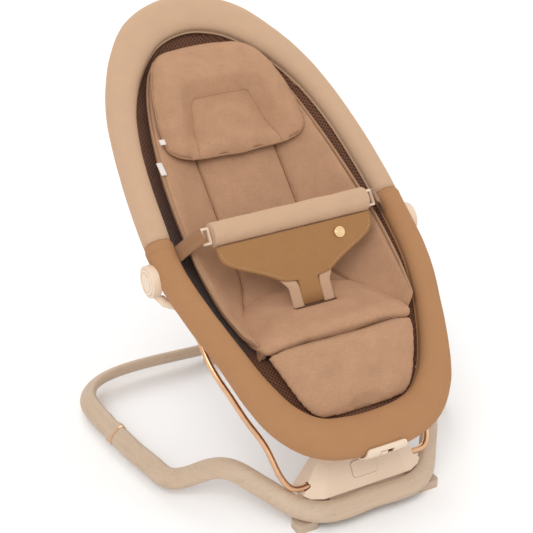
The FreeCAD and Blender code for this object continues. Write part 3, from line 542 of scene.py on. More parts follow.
def brushed_metal(name, colour, rough=0.28):
    """Plated metal: brushed streaks, slight tarnish."""
    nodes = Nodes(name)
    stretch = nodes.add("ShaderNodeMapping")
    stretch.inputs["Scale"].default_value = (1.0, 0.08, 0.08)
    nodes.link(nodes.place, stretch.inputs["Vector"])
    streaks = nodes.noise(1200.0, 3.0, 0.7, stretch.outputs["Vector"])
    tarnish = nodes.noise(30.0, 3.0, 0.6)
    nodes.colour(nodes.ramp(tarnish, [(0.3, shade(colour, 0.88)), (0.65, shade(colour, 1.04))]))
    nodes.rough(streaks, rough - 0.06, rough + 0.12)
    nodes.set("Metallic", 1.0)
    nodes.bump([(streaks, 0.00006, 0.3)])
    return nodes.material


RING_HALF_WIDE, RING_HALF_DEEP, RING_MIDDLE_Y = 0.262, 0.24, -0.062


def pale_wood(name, colour):
    """Wood-look laminate whose grain runs round the base ring."""
    nodes = Nodes(name)
    split = nodes.add("ShaderNodeSeparateXYZ")
    nodes.link(nodes.place, split.inputs[0])
    x = nodes.maths("DIVIDE", split.outputs["X"], RING_HALF_WIDE)
    y = nodes.maths("SUBTRACT", split.outputs["Y"], RING_MIDDLE_Y)
    y = nodes.maths("DIVIDE", y, RING_HALF_DEEP)
    power = 4.0
    radial = nodes.maths("POWER", nodes.maths(
        "ADD", nodes.maths("POWER", nodes.maths("ABSOLUTE", x), power),
        nodes.maths("POWER", nodes.maths("ABSOLUTE", y), power)), 1 / power)
    turn = nodes.maths("ARCTAN2", y, x)
    joined = nodes.add("ShaderNodeCombineXYZ")
    nodes.link(nodes.maths("MULTIPLY", radial, 0.25), joined.inputs["X"])
    nodes.link(split.outputs["Z"], joined.inputs["Y"])
    nodes.link(nodes.maths("MULTIPLY", turn, 0.012), joined.inputs["Z"])
    grain = nodes.noise(760.0, 5.0, 0.6, joined.outputs[0])
    broad = nodes.noise(130.0, 3.0, 0.5, joined.outputs[0])
    mix = nodes.maths("ADD", nodes.maths("MULTIPLY", grain, 0.6), nodes.maths("MULTIPLY", broad, 0.4))
    nodes.colour(nodes.ramp(mix, [(0.34, shade(colour, 0.80)), (0.46, shade(colour, 0.95)),
                                  (0.56, colour), (0.70, shade(colour, 1.06))]))
    nodes.rough(grain, 0.42, 0.6)
    nodes.set("Coat Weight", 0.12)
    nodes.set("Coat Roughness", 0.35)
    nodes.bump([(grain, 0.0003, 0.35)])
    return nodes.material


def rubber(name, colour):
    nodes = Nodes(name)
    speck = nodes.noise(800.0, 3.0, 0.7)
    nodes.colour(nodes.ramp(nodes.noise(40.0, 4.0), [(0.3, shade(colour, 0.86)),
                                                     (0.7, shade(colour, 1.03))]))
    nodes.rough(speck, 0.65, 0.85)
    nodes.bump([(speck, 0.0003, 0.5)])
    return nodes.material


LIGHT = srgb(187, 155, 127)
CARAMEL = srgb(162, 119, 82)
INLAY = srgb(172, 133, 104)
COVER_LIGHT = fabric("cover_light_cloth", LIGHT, mottle=0.05, fuzz=0.35, sheen=0.4, crease=0.06)
COVER_CARAMEL = fabric("cover_caramel_cloth", CARAMEL, mottle=0.05, fuzz=0.35, sheen=0.35,
                       crease=0.06)
INLAY_CLOTH = fabric("inlay_jersey", INLAY, mottle=0.15, fuzz=0.6, sheen=0.45, crease=0.10)
PIPING_CLOTH = fabric("piping_cloth", shade(INLAY, 0.86), mottle=0.10, fuzz=0.6, sheen=0.3)
BAND_CLOTH = fabric("band_cloth", srgb(180, 145, 118), mottle=0.08, fuzz=0.5)
PANEL_CLOTH = fabric("panel_cloth", srgb(151, 110, 70), mottle=0.05, fuzz=0.4, crease=0.05)
LABEL_CLOTH = fabric("label_cloth_white", srgb(214, 206, 198), mottle=0.03, fuzz=0.4, sheen=0.1)
THREAD_LIGHT = fabric("thread_light", srgb(200, 172, 146), mottle=0.05)
THREAD_DARK = fabric("thread_dark", srgb(128, 90, 62), mottle=0.05)
# the last colour is the painted shade inside the mesh holes
MESH_CLOTH = spacer_mesh("air_mesh", srgb(120, 70, 35), srgb(45, 20, 8))
# dark cloth as painted shade for the inside of the crotch slot; it is put on the anchor bar
SLOT_SHADE_CLOTH = fabric("slot_shade_cloth", srgb(92, 62, 42), mottle=0.08)
WEB_TAPE = webbing("web_tape", srgb(150, 105, 66))
CREAM = plastic("cream_plastic_grain", srgb(219, 195, 172))
CREAM_GLOSS = plastic("cream_button_plastic", srgb(222, 200, 177), rough=0.3, grain=0.1, coat=0.2)
ROSE = brushed_metal("rose_gold_plate", srgb(224, 178, 140))
BRASS = brushed_metal("brass_snap", srgb(240, 205, 158), rough=0.22)
STEEL = brushed_metal("zinc_steel", srgb(176, 176, 178))
WOOD = pale_wood("pale_oak", srgb(189, 165, 141))
FOOT_RUBBER = rubber("foot_rubber_soft", srgb(190, 168, 146))
NYLON = plastic("bearing_nylon", srgb(150, 150, 148), rough=0.5)


SLOT_FINISHES = {"wood_strip": WOOD, "cream_plastic": CREAM, "rose_gold": ROSE,
                 "foot_rubber": FOOT_RUBBER, "steel": STEEL, "bearing_plastic": NYLON,
                 "brass": BRASS, "webbing": WEB_TAPE, "label_cloth": LABEL_CLOTH,
                 "inlay_fabric": INLAY_CLOTH, "cover_light": COVER_LIGHT,
                 "cover_caramel": COVER_CARAMEL, "mesh_fabric": MESH_CLOTH,
                 "band_fabric": BAND_CLOTH}


def paint_cad():
    """Gives each carried-over node its finish."""
    slots = {row["node"]: row["material_slot"] for row in frame["record"]["subparts"]}
    special = dict.fromkeys(("foot_badge", "clip_left", "clip_right", "lock_slider",
                             "hub_button_left", "hub_button_right"), CREAM_GLOSS)
    # the anchor bar wears the dark painted-shade cloth so the slot in the seat cushion reads as
    # shaded
    special["anchor_bar"] = SLOT_SHADE_CLOTH
    for node, obj in frame["nodes"].items():
        material = special.get(node) or SLOT_FINISHES[slots[node]]
        obj.data.materials.clear()
        obj.data.materials.append(material)


def finish_soft(obj, body, nodes=()):
    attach(obj, body)
    if nodes:
        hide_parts(*nodes)
    return obj


# ---- padded hoop
SEAM = 60
HOOP_RIGHT = [(0, -291, 0), (75, -280, 0), (118, -245, 0), (143, -195, 4), (163, -130, 10),
              (181, -60, 9), (190, 20, 0), (187, 120, 0), (176, 220, 0), (156, 300, 0),
              (119, 374, 0), (70, 428, 0), (0, 449, 0)]
HOOP_STATIONS = 240
RIM_SIDES = 44
RIM_RISE = 19.0
RIM_SQUARENESS = 0.88
HEAD_OPENING = 3.5
SLEEVES = (("upper", COVER_LIGHT, "cover_light"), ("lower", COVER_CARAMEL, "cover_caramel"))


def hoop_line():
    """Closed centre line of the hoop as (across, along, lift), from the middle of the foot."""
    left = [(-x, y, lift) for x, y, lift in HOOP_RIGHT[1:-1][::-1]]
    dense = catmull(HOOP_RIGHT + left, 1200, closed=True)
    lengths = [0.0]
    for here, there in zip(dense, dense[1:] + dense[:1]):
        lengths.append(lengths[-1] + math.dist(here, there))
    found = []
    index = 0
    for step in range(HOOP_STATIONS):
        goal = lengths[-1] * step / HOOP_STATIONS
        while lengths[index + 1] < goal:
            index += 1
        found.append(dense[index])
    return found


def rim_half_width(along):
    if along > 200:
        return 20 + 12 * ((along - 200) / 249) ** 1.5
    if along < -130:
        return 20 + 10 * ((-130 - along) / 161) ** 1.2
    return 20.0


HOOP_LINE = hoop_line()


def hoop_station(index):
    """Centre, outward direction and half-width of the rim at a station."""
    centre = HOOP_LINE[index % len(HOOP_LINE)]
    a = HOOP_LINE[(index - 2) % len(HOOP_LINE)]
    b = HOOP_LINE[(index + 2) % len(HOOP_LINE)]
    heading = (b[0] - a[0], b[1] - a[1])
    size = math.hypot(*heading)
    out = (heading[1] / size, -heading[0] / size)
    return centre, out, rim_half_width(centre[1])


def head_opening(along):
    """How much wider the opening inside the rim gets near the head."""
    return HEAD_OPENING * smooth(along, 320, 430)


def rim_section(half, grow, angle):
    """Outward and upward reach of the rim's rounded section at an angle."""
    c, s = math.cos(angle), math.sin(angle)
    return ((half + grow) * math.copysign(abs(c) ** RIM_SQUARENESS, c),
            (RIM_RISE + grow) * math.copysign(abs(s) ** RIM_SQUARENESS, s))


def rim_row(index, grow):
    (x, y, lift), out, half = hoop_station(index)
    row = []
    for k in range(RIM_SIDES):
        angle = 2 * math.pi * k / RIM_SIDES
        wide, rise = rim_section(half, grow, angle)
        wide += 1.6 * math.exp(-((angle - math.pi) / 0.16) ** 2)
        wide += head_opening(y) * min(math.cos(angle), 0.0)
        point = seat(x + out[0] * wide, y + out[1] * wide, lift + rise)
        ripple = 0.5 * wobble(point, 0.05) + 0.22 * wobble(point, 0.016, 3)
        row.append(point + (point - seat(x, y, lift)).normalized() * ripple * MM)
    return row


def rim_indices(upper):
    inside = [n for n in range(len(HOOP_LINE)) if (HOOP_LINE[n][1] > SEAM) == upper]
    breaks = [k for k in range(1, len(inside)) if inside[k] != inside[k - 1] + 1]
    return inside[breaks[0]:] + inside[:breaks[0]] if breaks else inside


def make_rim():
    """Two sleeves that meet at a turned hem, with a welt where the sling is sewn on."""
    for name, material, slot in SLEEVES:
        upper = name == "upper"
        picked = rim_indices(upper)
        hem, fade = (-0.7, 1.5) if upper else (0.9, 1.3)
        rows = []
        for place, index in enumerate(picked):
            from_end = min(place, len(picked) - 1 - place)
            rows.append(rim_row(index, hem * math.exp(-from_end / fade)))
        if not upper:
            rows = [rim_row(picked[0] - 1, -1.2)] + rows + [rim_row(picked[-1] + 1, -1.2)]
        sleeve = grid_object(f"rim_{name}", rows, material, ring=True, caps=True)
        finish_soft(sleeve, "seat", [f"hoop_cover_{name}"])
    for name, material, slot in SLEEVES:
        line = []
        for index in rim_indices(name == "upper"):
            (x, y, lift), out, half = hoop_station(index)
            reach = half - 0.6 + head_opening(y)
            line.append(seat(x - out[0] * reach, y - out[1] * reach, lift - 2.5))
        finish_soft(tube_along(f"rim_welt_{name}", line, 1.3 * MM, material), "seat")
    make_seam_stitches()


def make_seam_stitches():
    for name, side in SIDES:
        options = [n for n in range(len(HOOP_LINE)) if HOOP_LINE[n][0] * side > 0]
        index = min(options, key=lambda n: abs(HOOP_LINE[n][1] - (SEAM - 8)))
        (x, y, lift), out, half = hoop_station(index)
        ring = []
        for k in range(73):
            wide, rise = rim_section(half, 0.35, 2 * math.pi * k / 72)
            ring.append(seat(x + out[0] * wide, y + out[1] * wide, lift + rise))
        row = stitches(f"seam_stitches_{name}", ring, THREAD_DARK, length=2.6, gap=1.8, radius=0.3)
        finish_soft(row, "seat")


# ---- sling
SLING = [(-262, -7), (-235, -8), (-205, -3), (-175, 0), (-154, -1), (-130, -18), (-100, -40),
         (-60, -58), (-20, -72), (10, -74), (50, -66), (100, -56), (193, -42), (282, -34),
         (350, -30), (385, -25), (413, -14), (420, -9)]
SLING_ROWS = 111


def rim_inner(along):
    """Half the clear width inside the rim, and the rim's lift there."""
    best = (1e9, 0, 0)
    for index in range(len(HOOP_LINE)):
        (x, y, lift), out, half = hoop_station(index)
        if x < 0:
            continue
        inner = (x - out[0] * half, y - out[1] * half)
        best = min(best, (abs(inner[1] - along), inner[0], lift))
    return max(best[1], 4.0), best[2]


def make_sling():
    rows = []
    low, high = SLING[0][0], SLING[-1][0]
    for step in range(SLING_ROWS):
        turn = math.pi * step / (SLING_ROWS - 1)
        along = (low + high) / 2 - (high - low) / 2 * math.cos(turn)
        (middle,) = profile_at(SLING, along)
        half, edge = rim_inner(along)
        half += 1.0
        row = []
        for k in range(49):
            share = -1 + 2 * k / 48
            lift = middle + (edge - 4.5 - middle) * abs(share) ** 3.5
            row.append(seat(share * half, along, lift - 0.6))
        rows.append(row)
    sling = grid_object("seat_sling", rows, MESH_CLOTH)
    solidify(sling, 1.6 * MM, offset=0, even=False)
    finish_soft(sling, "seat", ["seat_mesh"])


# ---- back inlay
BACK_ROWS = [(-146, 119, 34, 127, 39), (-125, 118, 20, 133, 37), (-104, 113, 2, 138, 31),
             (-63, 96, -27, 146, 24), (0, 69, -48, 150, 18), (60, 67, -42, 149, 14),
             (120, 67, -33, 145, 10), (193, 67, -22, 136, 7), (282, 66, -12, 117, 6),
             (340, 59, -7, 95, 6), (370, 48, -4, 74, 6)]
BACK_FOOT, BACK_HEAD = BACK_ROWS[0][0], BACK_ROWS[-1][0]
BACK_STATIONS = 110
BACK_CUT = -60
BACK_THICKNESS = 9 * MM


def back_point(share, along):
    """Top face of the back inlay. Shares -1 to 1; half is the seam beside the middle panel."""
    inner, inner_top, outer, outer_top = profile_at(BACK_ROWS, along)
    side = math.copysign(1, share)
    size = abs(share)
    if size <= 0.5:
        across = inner * size / 0.5
        crown = 4.2 * (1 - (size / 0.5) ** 4)
        dip = 13 * smooth(-along, 0, 60) * (1 - (size / 0.5) ** 3)
        lift = inner_top - 3.2 + crown - dip
    else:
        part = (size - 0.5) / 0.5
        across = inner + (outer - inner) * part
        crown = 5.5 * (1 - abs(2 * part - 1) ** 3.5)
        lift = inner_top - 3.2 + (outer_top - inner_top) * part ** 1.6 + crown
        lift -= 5.0 * smooth(part, 0.93, 1.0)
        tuck = smooth(-along, 112, 146)
        across -= 15 * tuck * part
        lift -= 20 * tuck * tuck
    seam = math.exp(-((size - 0.5) / 0.014) ** 2)
    lift -= 3.8 * seam
    return side * across, lift


def make_back():
    """One quilted sheet: the middle panel, two side panels and sewn seams between them."""
    even = [-1 + 2 * k / 96 for k in range(97)]
    beside_seams = [s * (0.5 + d) for s in (-1, 1) for d in (-0.02, -0.008, 0.008, 0.02)]
    shares = sorted(set(round(s, 5) for s in even + beside_seams))

    def along_at(step):
        return BACK_FOOT + (BACK_HEAD - BACK_FOOT) * step / (BACK_STATIONS - 1)

    rows = []
    for step in range(BACK_STATIONS):
        along = along_at(step)
        done = step / (BACK_STATIONS - 1)
        ease = smooth(done, 0, 0.02) * smooth(1 - done, 0, 0.02)
        row = []
        for share in shares:
            across, lift = back_point(share, along)
            point = seat(across, along, lift)
            ripple = 0.9 * wobble(point, 0.07, 5) + 0.35 * wobble(point, 0.022, 9)
            row.append(point + SEAT_UP * MM * (ripple - 4.0 * (1 - ease)))
        rows.append(row)

    def kept(i, j):
        return along_at(j) > BACK_CUT or abs(shares[i] + shares[i + 1]) / 2 > 0.5

    back = grid_object("back_inlay", rows, INLAY_CLOTH, keep_face=kept)
    thicken_down(back, BACK_THICKNESS, SEAT_UP)
    rounding = back.modifiers.new("edge", "BEVEL")
    rounding.width = 2.5 * MM
    rounding.segments = 2
    rounding.angle_limit = math.radians(50)
    apply_modifiers(back)
    finish_soft(back, "seat", ["inlay_back", "side_pad_left", "side_pad_right"])
    for name, side in SIDES:
        line = []
        for step in range(120):
            along = -145.5 + 513 * step / 119
            across, lift = back_point(side * 1.0, along)
            line.append(seat(across + side * 0.8, along, lift + 2.6))
        edge = tube_along(f"back_welt_{name}", line, 2.4 * MM, PIPING_CLOTH, sides=12)
        finish_soft(edge, "seat")
        seam = []
        for step in range(100):
            along = -14 + 380 * step / 99
            across, lift = back_point(side * 0.5, along)
            seam.append(seat(across, along, lift + 0.4))
        thread = tube_along(f"back_seam_{name}", seam, 0.6 * MM, THREAD_DARK, sides=8)
        finish_soft(thread, "seat")


# ---- cushions
PAD_COLUMNS, PAD_ROWS = 41, 52


def cushion_rows(outline, tops, softness=5.0, low_soft=8.0, high_soft=8.0):
    """Top and bottom sheets of a pad that meet at its edge. tops gives (lift, thickness)."""
    low, high = outline[0][0], outline[-1][0]
    top_rows, bottom_rows = [], []
    for j in range(PAD_ROWS):
        t = math.sin((-1 + 2 * j / (PAD_ROWS - 1)) * math.pi / 2)
        along = (low + high) / 2 + t * (high - low) / 2
        half = profile_at(outline, along)[0]
        end_soft = low_soft if t < 0 else high_soft
        top, bottom = [], []
        for i in range(PAD_COLUMNS):
            share = math.sin((-1 + 2 * i / (PAD_COLUMNS - 1)) * math.pi / 2)
            lift, thick = tops(share, along)
            swell = max((1 - abs(share) ** softness) * (1 - abs(t) ** end_soft), 0.0) ** 0.5
            middle = lift - thick / 2
            top.append(seat(share * half, along, middle + thick / 2 * swell))
            bottom.append(seat(share * half, along, middle - thick / 2 * swell))
        top_rows.append(top)
        bottom_rows.append(bottom)
    return top_rows, bottom_rows


def closed_pad(name, outline, tops, material, **options):
    top_rows, bottom_rows = cushion_rows(outline, tops, **options)
    verts = [point for row in top_rows + bottom_rows for point in row]
    faces = []
    for j in range(PAD_ROWS - 1):
        for i in range(PAD_COLUMNS - 1):
            a = j * PAD_COLUMNS + i
            faces.append((a, a + 1, a + PAD_COLUMNS + 1, a + PAD_COLUMNS))
            b = a + PAD_COLUMNS * PAD_ROWS
            faces.append((b, b + PAD_COLUMNS, b + PAD_COLUMNS + 1, b + 1))
    return recalc(new_object(name, verts, faces, material))


def creases(point, seeds):
    """Gentle unevenness of stuffed cloth, in millimetres."""
    broad, fine = seeds
    return 0.8 * wobble(point, 0.06, broad) + 0.3 * wobble(point, 0.02, fine)


SEAT_OUTLINE = [(-151, 117), (-146, 122), (-134, 127), (-118, 129), (-98, 126), (-75, 116),
                (-56, 102), (-42, 84), (-31, 58), (-26, 30)]
SEAT_TOPS = [(-151, 42, 36), (-143, 42, 38), (-128, 31, 38), (-98, 6, 32), (-58, -24, 23),
             (-34, -41, 17), (-26, -45, 14)]


def seat_tops(share, along):
    lift, thick = profile_at(SEAT_TOPS, along)
    return lift + 2.5 * share * share, thick


LEG_OUTLINE = [(-256, 50), (-252, 66), (-245, 79), (-236, 87), (-220, 96), (-200, 104),
               (-187, 108), (-172, 113), (-151, 118)]
LEG_TOPS = [(-256, 3, 11), (-250, 5, 12), (-230, 14, 17), (-202, 26, 24), (-172, 38, 31),
            (-151, 41.5, 34)]


def leg_tops(share, along):
    lift, thick = profile_at(LEG_TOPS, along)
    return lift + 1.0 * share * share, thick


def slot_dip(point):
    """How deep the crotch slot presses into the seat cushion at a point, 0 to 1."""
    across, along, _ = seat_coordinates(point)
    wide = smooth(35 - abs(across), -2.5, 2.5)
    deep = smooth(3.6 - abs(along - SLOT_ALONG), -2.0, 2.0)
    return wide * deep


def make_seat_cushion():
    pad = closed_pad("seat_cushion", SEAT_OUTLINE, seat_tops, INLAY_CLOTH, low_soft=16.0)
    inflate(pad, 0.0045, 0.004)

    def settle(point, normal):
        face_up = smooth(normal.dot(SEAT_UP), 0.0, 0.5)
        across, along, _ = seat_coordinates(point)
        bulge = 5.0 * math.exp(-((along + 91) / 15) ** 2) * smooth(58 - abs(across), 0, 20)
        return SEAT_UP * MM * (creases(point, (2, 4)) + bulge - 13 * slot_dip(point)) * face_up

    reshape(pad, settle)
    finish_soft(pad, "seat", ["inlay_seat"])
    tree = surface_of(pad)
    ring = []
    for k in range(65):
        angle = 2 * math.pi * k / 64
        c, s = math.cos(angle), math.sin(angle)
        x = 40.0 * math.copysign(abs(c) ** 0.35, c)
        y = SLOT_ALONG + 8.5 * math.copysign(abs(s) ** 0.5, s)
        ring.append(seat(x, y, 60))
    ring = dropped(tree, ring, off=0.2 * MM)
    thread = stitches("slot_stitches", ring, PIPING_CLOTH, length=2.4, gap=1.8, radius=0.32)
    finish_soft(thread, "seat")


def make_leg_cushion():
    pad = closed_pad("leg_cushion", LEG_OUTLINE, leg_tops, INLAY_CLOTH, low_soft=12.0,
                     high_soft=26.0)
    inflate(pad, 0.0045, 0.0025)

    def settle(point, normal):
        face_up = smooth(normal.dot(SEAT_UP), 0.0, 0.5)
        return SEAT_UP * MM * creases(point, (7, 8)) * face_up

    reshape(pad, settle)
    finish_soft(pad, "seat", ["inlay_leg"])
    tree = surface_of(pad)
    crease = [seat(-115 + 230 * k / 60, -154 + 3.5 * (abs(k - 30) / 30) ** 3, 90)
              for k in range(61)]
    crease = dropped(tree, crease, off=0.2 * MM)
    edge = tube_along("crease_piping", crease, 1.5 * MM, PIPING_CLOTH)
    finish_soft(edge, "seat")


# ---- pillow
PILLOW_OUTLINE = [(183, 70), (186, 87), (191, 103), (204, 119), (222, 125), (260, 121), (300, 113),
                  (340, 99), (360, 88), (375, 69), (383, 50), (387, 34)]
PILLOW_TOPS = [(183, -3, 10), (212, 1, 15), (240, 8, 20), (282, 17, 25), (330, 23, 27),
               (362, 20.5, 21), (383, 12, 11)]


def pillow_tops(share, along):
    lift, thick = profile_at(PILLOW_TOPS, along)
    across = share * profile_at(PILLOW_OUTLINE, along)[0]
    return lift + 8.5 * (abs(across) / 120) ** 2.4, thick


def pillow_panel(point):
    """Signed distance into the pillow's middle panel, a trapezoid open at the bottom, in mm."""
    across, along, _ = seat_coordinates(point)
    half = 71 - 21 * (along - 187) / 95
    side, top = half - abs(across), 287 - along
    return min(side, top) - 5 * math.exp(-((side - top) / 9) ** 2)


def make_pillow():
    pad = closed_pad("head_pillow_pad", PILLOW_OUTLINE, pillow_tops, INLAY_CLOTH, softness=4.0)
    inflate(pad, 0.005, 0.004)

    def settle(point, normal):
        face_up = smooth(normal.dot(SEAT_UP), 0.0, 0.6)
        inside = pillow_panel(point)
        _, along, _ = seat_coordinates(point)
        bowl = smooth(inside, -24, 5) * smooth(along, 192, 236)
        seam = math.exp(-(inside / 2.6) ** 2) * smooth(along, 190, 205)
        crown = 6.0 * smooth(inside, 0, 24) * smooth(along, 188, 218)
        ridge = 4.5 * math.exp(-((inside + 32) / 18) ** 2)
        ripple = creases(point, (11, 12))
        return SEAT_UP * MM * (ridge + ripple - 16.0 * bowl - 2.5 * seam + crown) * face_up

    reshape(pad, settle)
    finish_soft(pad, "seat", ["head_pillow"])
    tree = surface_of(pad)
    half = [(70.5, 186), (66, 210), (56, 254), (51, 275), (47.5, 283), (41, 287), (20, 288)]
    line = catmull([(-x, y) for x, y in half] + half[::-1], 120)
    path = dropped(tree, [seat(x, y, 90) for x, y in line])
    seam = tube_along("pillow_panel_seam", path, 0.7 * MM, PIPING_CLOTH, sides=8)
    finish_soft(seam, "seat")
    count = 160
    edge = [pillow_edge_point(tree, 2 * math.pi * k / count) for k in range(count)]
    for _ in range(5):
        edge = [(edge[k - 1] + edge[k] * 2 + edge[(k + 1) % count]) / 4 for k in range(count)]
    piping = tube_along("pillow_piping", edge, 1.7 * MM, PIPING_CLOTH, closed=True)
    finish_soft(piping, "seat")


def pillow_edge_point(tree, angle):
    """A point on the seam round the pillow's edge, found from outside at half its thickness."""
    low, high = PILLOW_OUTLINE[0][0], PILLOW_OUTLINE[-1][0]
    t = math.copysign(abs(math.sin(angle)) ** 0.8, math.sin(angle))
    along = (low + high) / 2 + t * (high - low) / 2
    half = profile_at(PILLOW_OUTLINE, along)[0]
    share = min(max(math.cos(angle) * 3.0, -1.0), 1.0)
    lift, thick = pillow_tops(share, along)
    expected = seat(share * half, along, lift - thick / 2)
    middle = (low + high) / 2
    aim = seat(share * half * 0.6, middle + (along - middle) * 0.6, lift - thick / 2)
    heading = (aim - expected).normalized()
    hit = tree.ray_cast(expected - heading * 0.03, heading, 0.06)
    return expected if hit[0] is None else hit[0] - heading * 0.7 * MM


# ---- harness
# Half outline of the crotch panel as (across, up): its straight foot, then its wing.
PANEL_FOOT = [(17, 4), (17, 22)]
PANEL_WING = [(17, 40), (40, 44), (58, 54), (78, 64), (104, 76), (120, 86), (126, 97), (127, 113)]
STRAP_PATH = [(141, 47.5), (147, 44), (155, 33), (163, 20), (169, 9), (171, 4)]
ROLL_RADIUS = 18.0
ROLL_UP, ROLL_OFF = 132, -6


def make_crotch_panel():
    wing = catmull(PANEL_WING, 40)
    rows = []
    for x, up in PANEL_FOOT + wing:
        row = []
        for k in range(33):
            share = -1 + 2 * k / 32
            edge = 1 - abs(share) ** 14
            puff = 0.9 * wobble((share * x * MM, up * MM, 0.0), 0.03, 6)
            row.append(panel(share * x, up, 0.3 + 1.6 * edge + puff * edge * 0.6))
        rows.append(row)
    cloth = grid_object("crotch_panel_cloth", rows, PANEL_CLOTH)
    solidify(cloth, 3.6 * MM, offset=-1)
    finish_soft(cloth, "harness", ["crotch_panel"])
    tree = surface_of(cloth)
    for name, side in SIDES:
        path = dropped(tree, [panel(side * (x - 4.5), up + 2.5, 30) for x, up in wing[6:]],
                       -PANEL_OFF, 0.1 * MM)
        thread = stitches(f"panel_stitches_{name}", path, THREAD_LIGHT, length=2.6, gap=2.0,
                          radius=0.3, lift=PANEL_OFF)
        finish_soft(thread, "harness")
        make_band(name, side)


def make_band(name, side):
    """The pale binding down each side of the crotch strap, flaring under the panel's wing."""
    rows = []
    for step in range(28):
        up = -3 + 55 * step / 27
        spread = 10 * smooth(up, 28, 52)
        row = []
        for k in range(11):
            share = k / 10
            across = 16.2 + spread * 0.6 + (18 + spread * 0.5) * share
            swell = 1.3 * (1 - abs(2 * share - 1) ** 6)
            tuck = -2.6 * smooth(up, 36, 44)
            row.append(panel(side * across, up, 0.2 + swell + tuck))
        rows.append(row)
    band = grid_object(f"crotch_band_cloth_{name}", rows, BAND_CLOTH)
    solidify(band, 2.6 * MM, offset=-1)
    finish_soft(band, "harness", [f"crotch_band_{name}"])


def make_roll():
    """The padded sleeve round the waist belt, softly dented and gathered at its ends."""
    low, high = corners("belt_roll")
    half = (high.x - low.x) / 2 / MM
    rows = []
    ends = [(-half, 0.90), (-half + 0.4, 0.97), (-half + 2.0, 0.99)]
    stations = ends + [(-half + 6 + (2 * half - 12) * k / 80, 1.0) for k in range(81)]
    stations += [(-x, s) for x, s in ends[::-1]]
    for across, scale in stations:
        row = []
        for k in range(48):
            angle = 2 * math.pi * k / 48
            ripple = 0.55 * wobble((across * MM, math.cos(angle) * 0.03, math.sin(angle) * 0.03),
                                   0.03, 4)
            gather = 0.35 * math.exp(-(half - abs(across)) / 9) * math.sin(11 * angle)
            seam = -1.3 * math.exp(-((angle - math.radians(262)) / 0.05) ** 2)
            reach = scale * (ROLL_RADIUS + ripple + gather + seam)
            row.append(panel(across, ROLL_UP + reach * math.cos(angle),
                             ROLL_OFF + reach * math.sin(angle)))
        rows.append(row)
    roll = grid_object("belt_roll_sleeve", rows, COVER_LIGHT, ring=True, caps=True)
    finish_soft(roll, "harness", ["belt_roll"])


def make_straps():
    """Waist webbing from the rim's inner side up to each clip."""
    for name, side in SIDES:
        rows = []
        for across, lift in catmull(STRAP_PATH, 24):
            rows.append([seat(side * across, 40 + 12 * (-1 + 2 * k / 12),
                              lift + 0.25 * math.sin(k)) for k in range(13)])
        tape = grid_object(f"waist_web_{name}", rows, WEB_TAPE)
        solidify(tape, 1.5 * MM, offset=0)
        finish_soft(tape, "seat", [f"strap_{name}"])


def make_labels():
    """Blank folded cloth labels on the left edges of the pillow and the back."""
    for node, tilt, start, long in (("label_pillow", 0.5, -5, 9), ("label_inlay", 0.9, -7, 22)):
        low, high = corners(node)
        centre = (low + high) / 2
        rows = []
        for k in range(15):
            angle = math.pi * k / 14
            out = -4.5 + 9 * abs(1 - k / 7)
            rise = 0.8 * math.sin(angle) - (0.8 if k > 7 else 0.0)
            wave = 0.5 * math.sin(angle * 2)
            rows.append([centre + ACROSS * out * MM + SEAT_ALONG * (start + long * j / 8) * MM
                         + SEAT_UP * MM * (rise + wave * tilt) for j in range(9)])
        label = grid_object(f"{node}_fold", rows, LABEL_CLOTH)
        solidify(label, 0.4 * MM, offset=0)
        finish_soft(label, "seat", [node])


# ---- small hard trim
def make_hub_trim():
    """A fine plated ring on the face of each hub button."""
    for name, side in SIDES:
        low, high = corners(f"hub_button_{name}")
        face = low.x if side < 0 else high.x
        centre = Vector((face, (low.y + high.y) / 2, (low.z + high.z) / 2))
        ring = [centre + Vector((0, math.cos(a), math.sin(a))) * 14.5 * MM
                for a in (2 * math.pi * k / 64 for k in range(64))]
        trim = tube_along(f"hub_ring_{name}", ring, 0.45 * MM, ROSE, closed=True, sides=8)
        finish_soft(trim, f"hub_button_{name}")


def make_snap_trim():
    low, high = corners("snap_button")
    centre = (low + high) / 2 + PANEL_OFF * 1.2 * MM
    ring = [centre + (ACROSS * math.cos(a) + PANEL_UP * math.sin(a)) * 5.4 * MM
            for a in (2 * math.pi * k / 48 for k in range(48))]
    trim = tube_along("snap_ring", ring, 0.5 * MM, BRASS, closed=True, sides=8)
    finish_soft(trim, "harness")


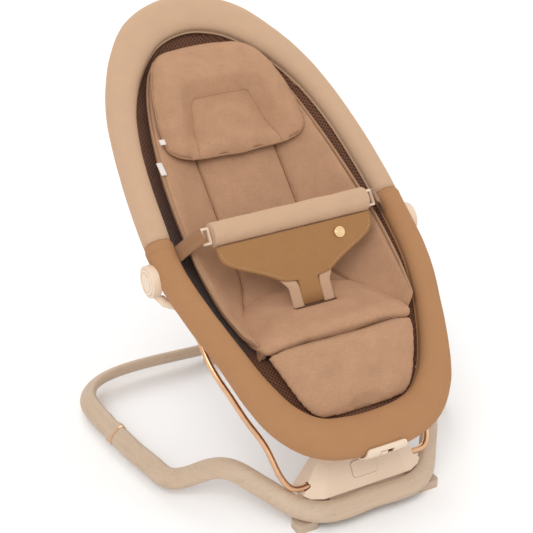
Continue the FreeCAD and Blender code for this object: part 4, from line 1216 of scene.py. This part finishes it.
# ---- stage
FLOOR_Z, FLOOR_HALF = 0.0, 30.0
LIGHTS = (("key", (-1.6, -1.9, 2.6), 1.8, 46), ("fill", (2.2, -1.2, 1.6), 2.4, 12),
          ("back", (0.3, 2.4, 2.4), 2.0, 26))
LIGHT_AIM = Vector((0, 0, 0.3))
CAMERA_LENS = 94.6
CAMERA_PLACE = (-0.8975, -1.6394, 1.250)
CAMERA_AZIMUTH, CAMERA_ELEVATION = -28.5, 28.0


def make_stage():
    scene = bpy.context.scene
    square = ((-1, -1), (1, -1), (1, 1), (-1, 1))
    verts = [(FLOOR_HALF * x, FLOOR_HALF * y, FLOOR_Z) for x, y in square]
    floor = new_object("floor", verts, [(0, 1, 2, 3)], None)
    nodes = Nodes("floor_pale")
    stops = [(0.3, (0.90, 0.90, 0.90)), (0.7, (0.92, 0.92, 0.92))]
    nodes.colour(nodes.ramp(nodes.noise(3.0, 2.0), stops))
    nodes.set("Roughness", 0.95)
    floor.data.materials.append(nodes.material)

    world = scene.world or bpy.data.worlds.new("studio")
    scene.world = world
    world.use_nodes = True
    background = world.node_tree.nodes["Background"]
    background.inputs["Color"].default_value = (1.0, 0.99, 0.975, 1)
    background.inputs["Strength"].default_value = 0.85

    for name, place, size, power in LIGHTS:
        light = bpy.data.lights.new(name, "AREA")
        light.size = size
        light.energy = power
        lamp = bpy.data.objects.new(name, light)
        lamp.location = place
        aim = LIGHT_AIM - Vector(place)
        lamp.rotation_euler = aim.to_track_quat("-Z", "Y").to_euler()
        scene.collection.objects.link(lamp)

    camera = bpy.data.cameras.new("camera")
    camera.lens = CAMERA_LENS
    camera.sensor_width = 36
    eye = bpy.data.objects.new("camera", camera)
    eye.location = CAMERA_PLACE
    azimuth, elevation = math.radians(CAMERA_AZIMUTH), math.radians(CAMERA_ELEVATION)
    forward = Vector((-math.sin(azimuth) * math.cos(elevation),
                      math.cos(azimuth) * math.cos(elevation), -math.sin(elevation)))
    eye.rotation_euler = forward.to_track_quat("-Z", "Y").to_euler()
    scene.collection.objects.link(eye)
    scene.camera = eye
    scene.view_settings.view_transform = "Standard"


make_stage()
paint_cad()
make_rim()
make_sling()
make_back()
make_seat_cushion()
make_leg_cushion()
make_pillow()
make_crotch_panel()
make_roll()
make_straps()
make_labels()
make_hub_trim()
make_snap_trim()
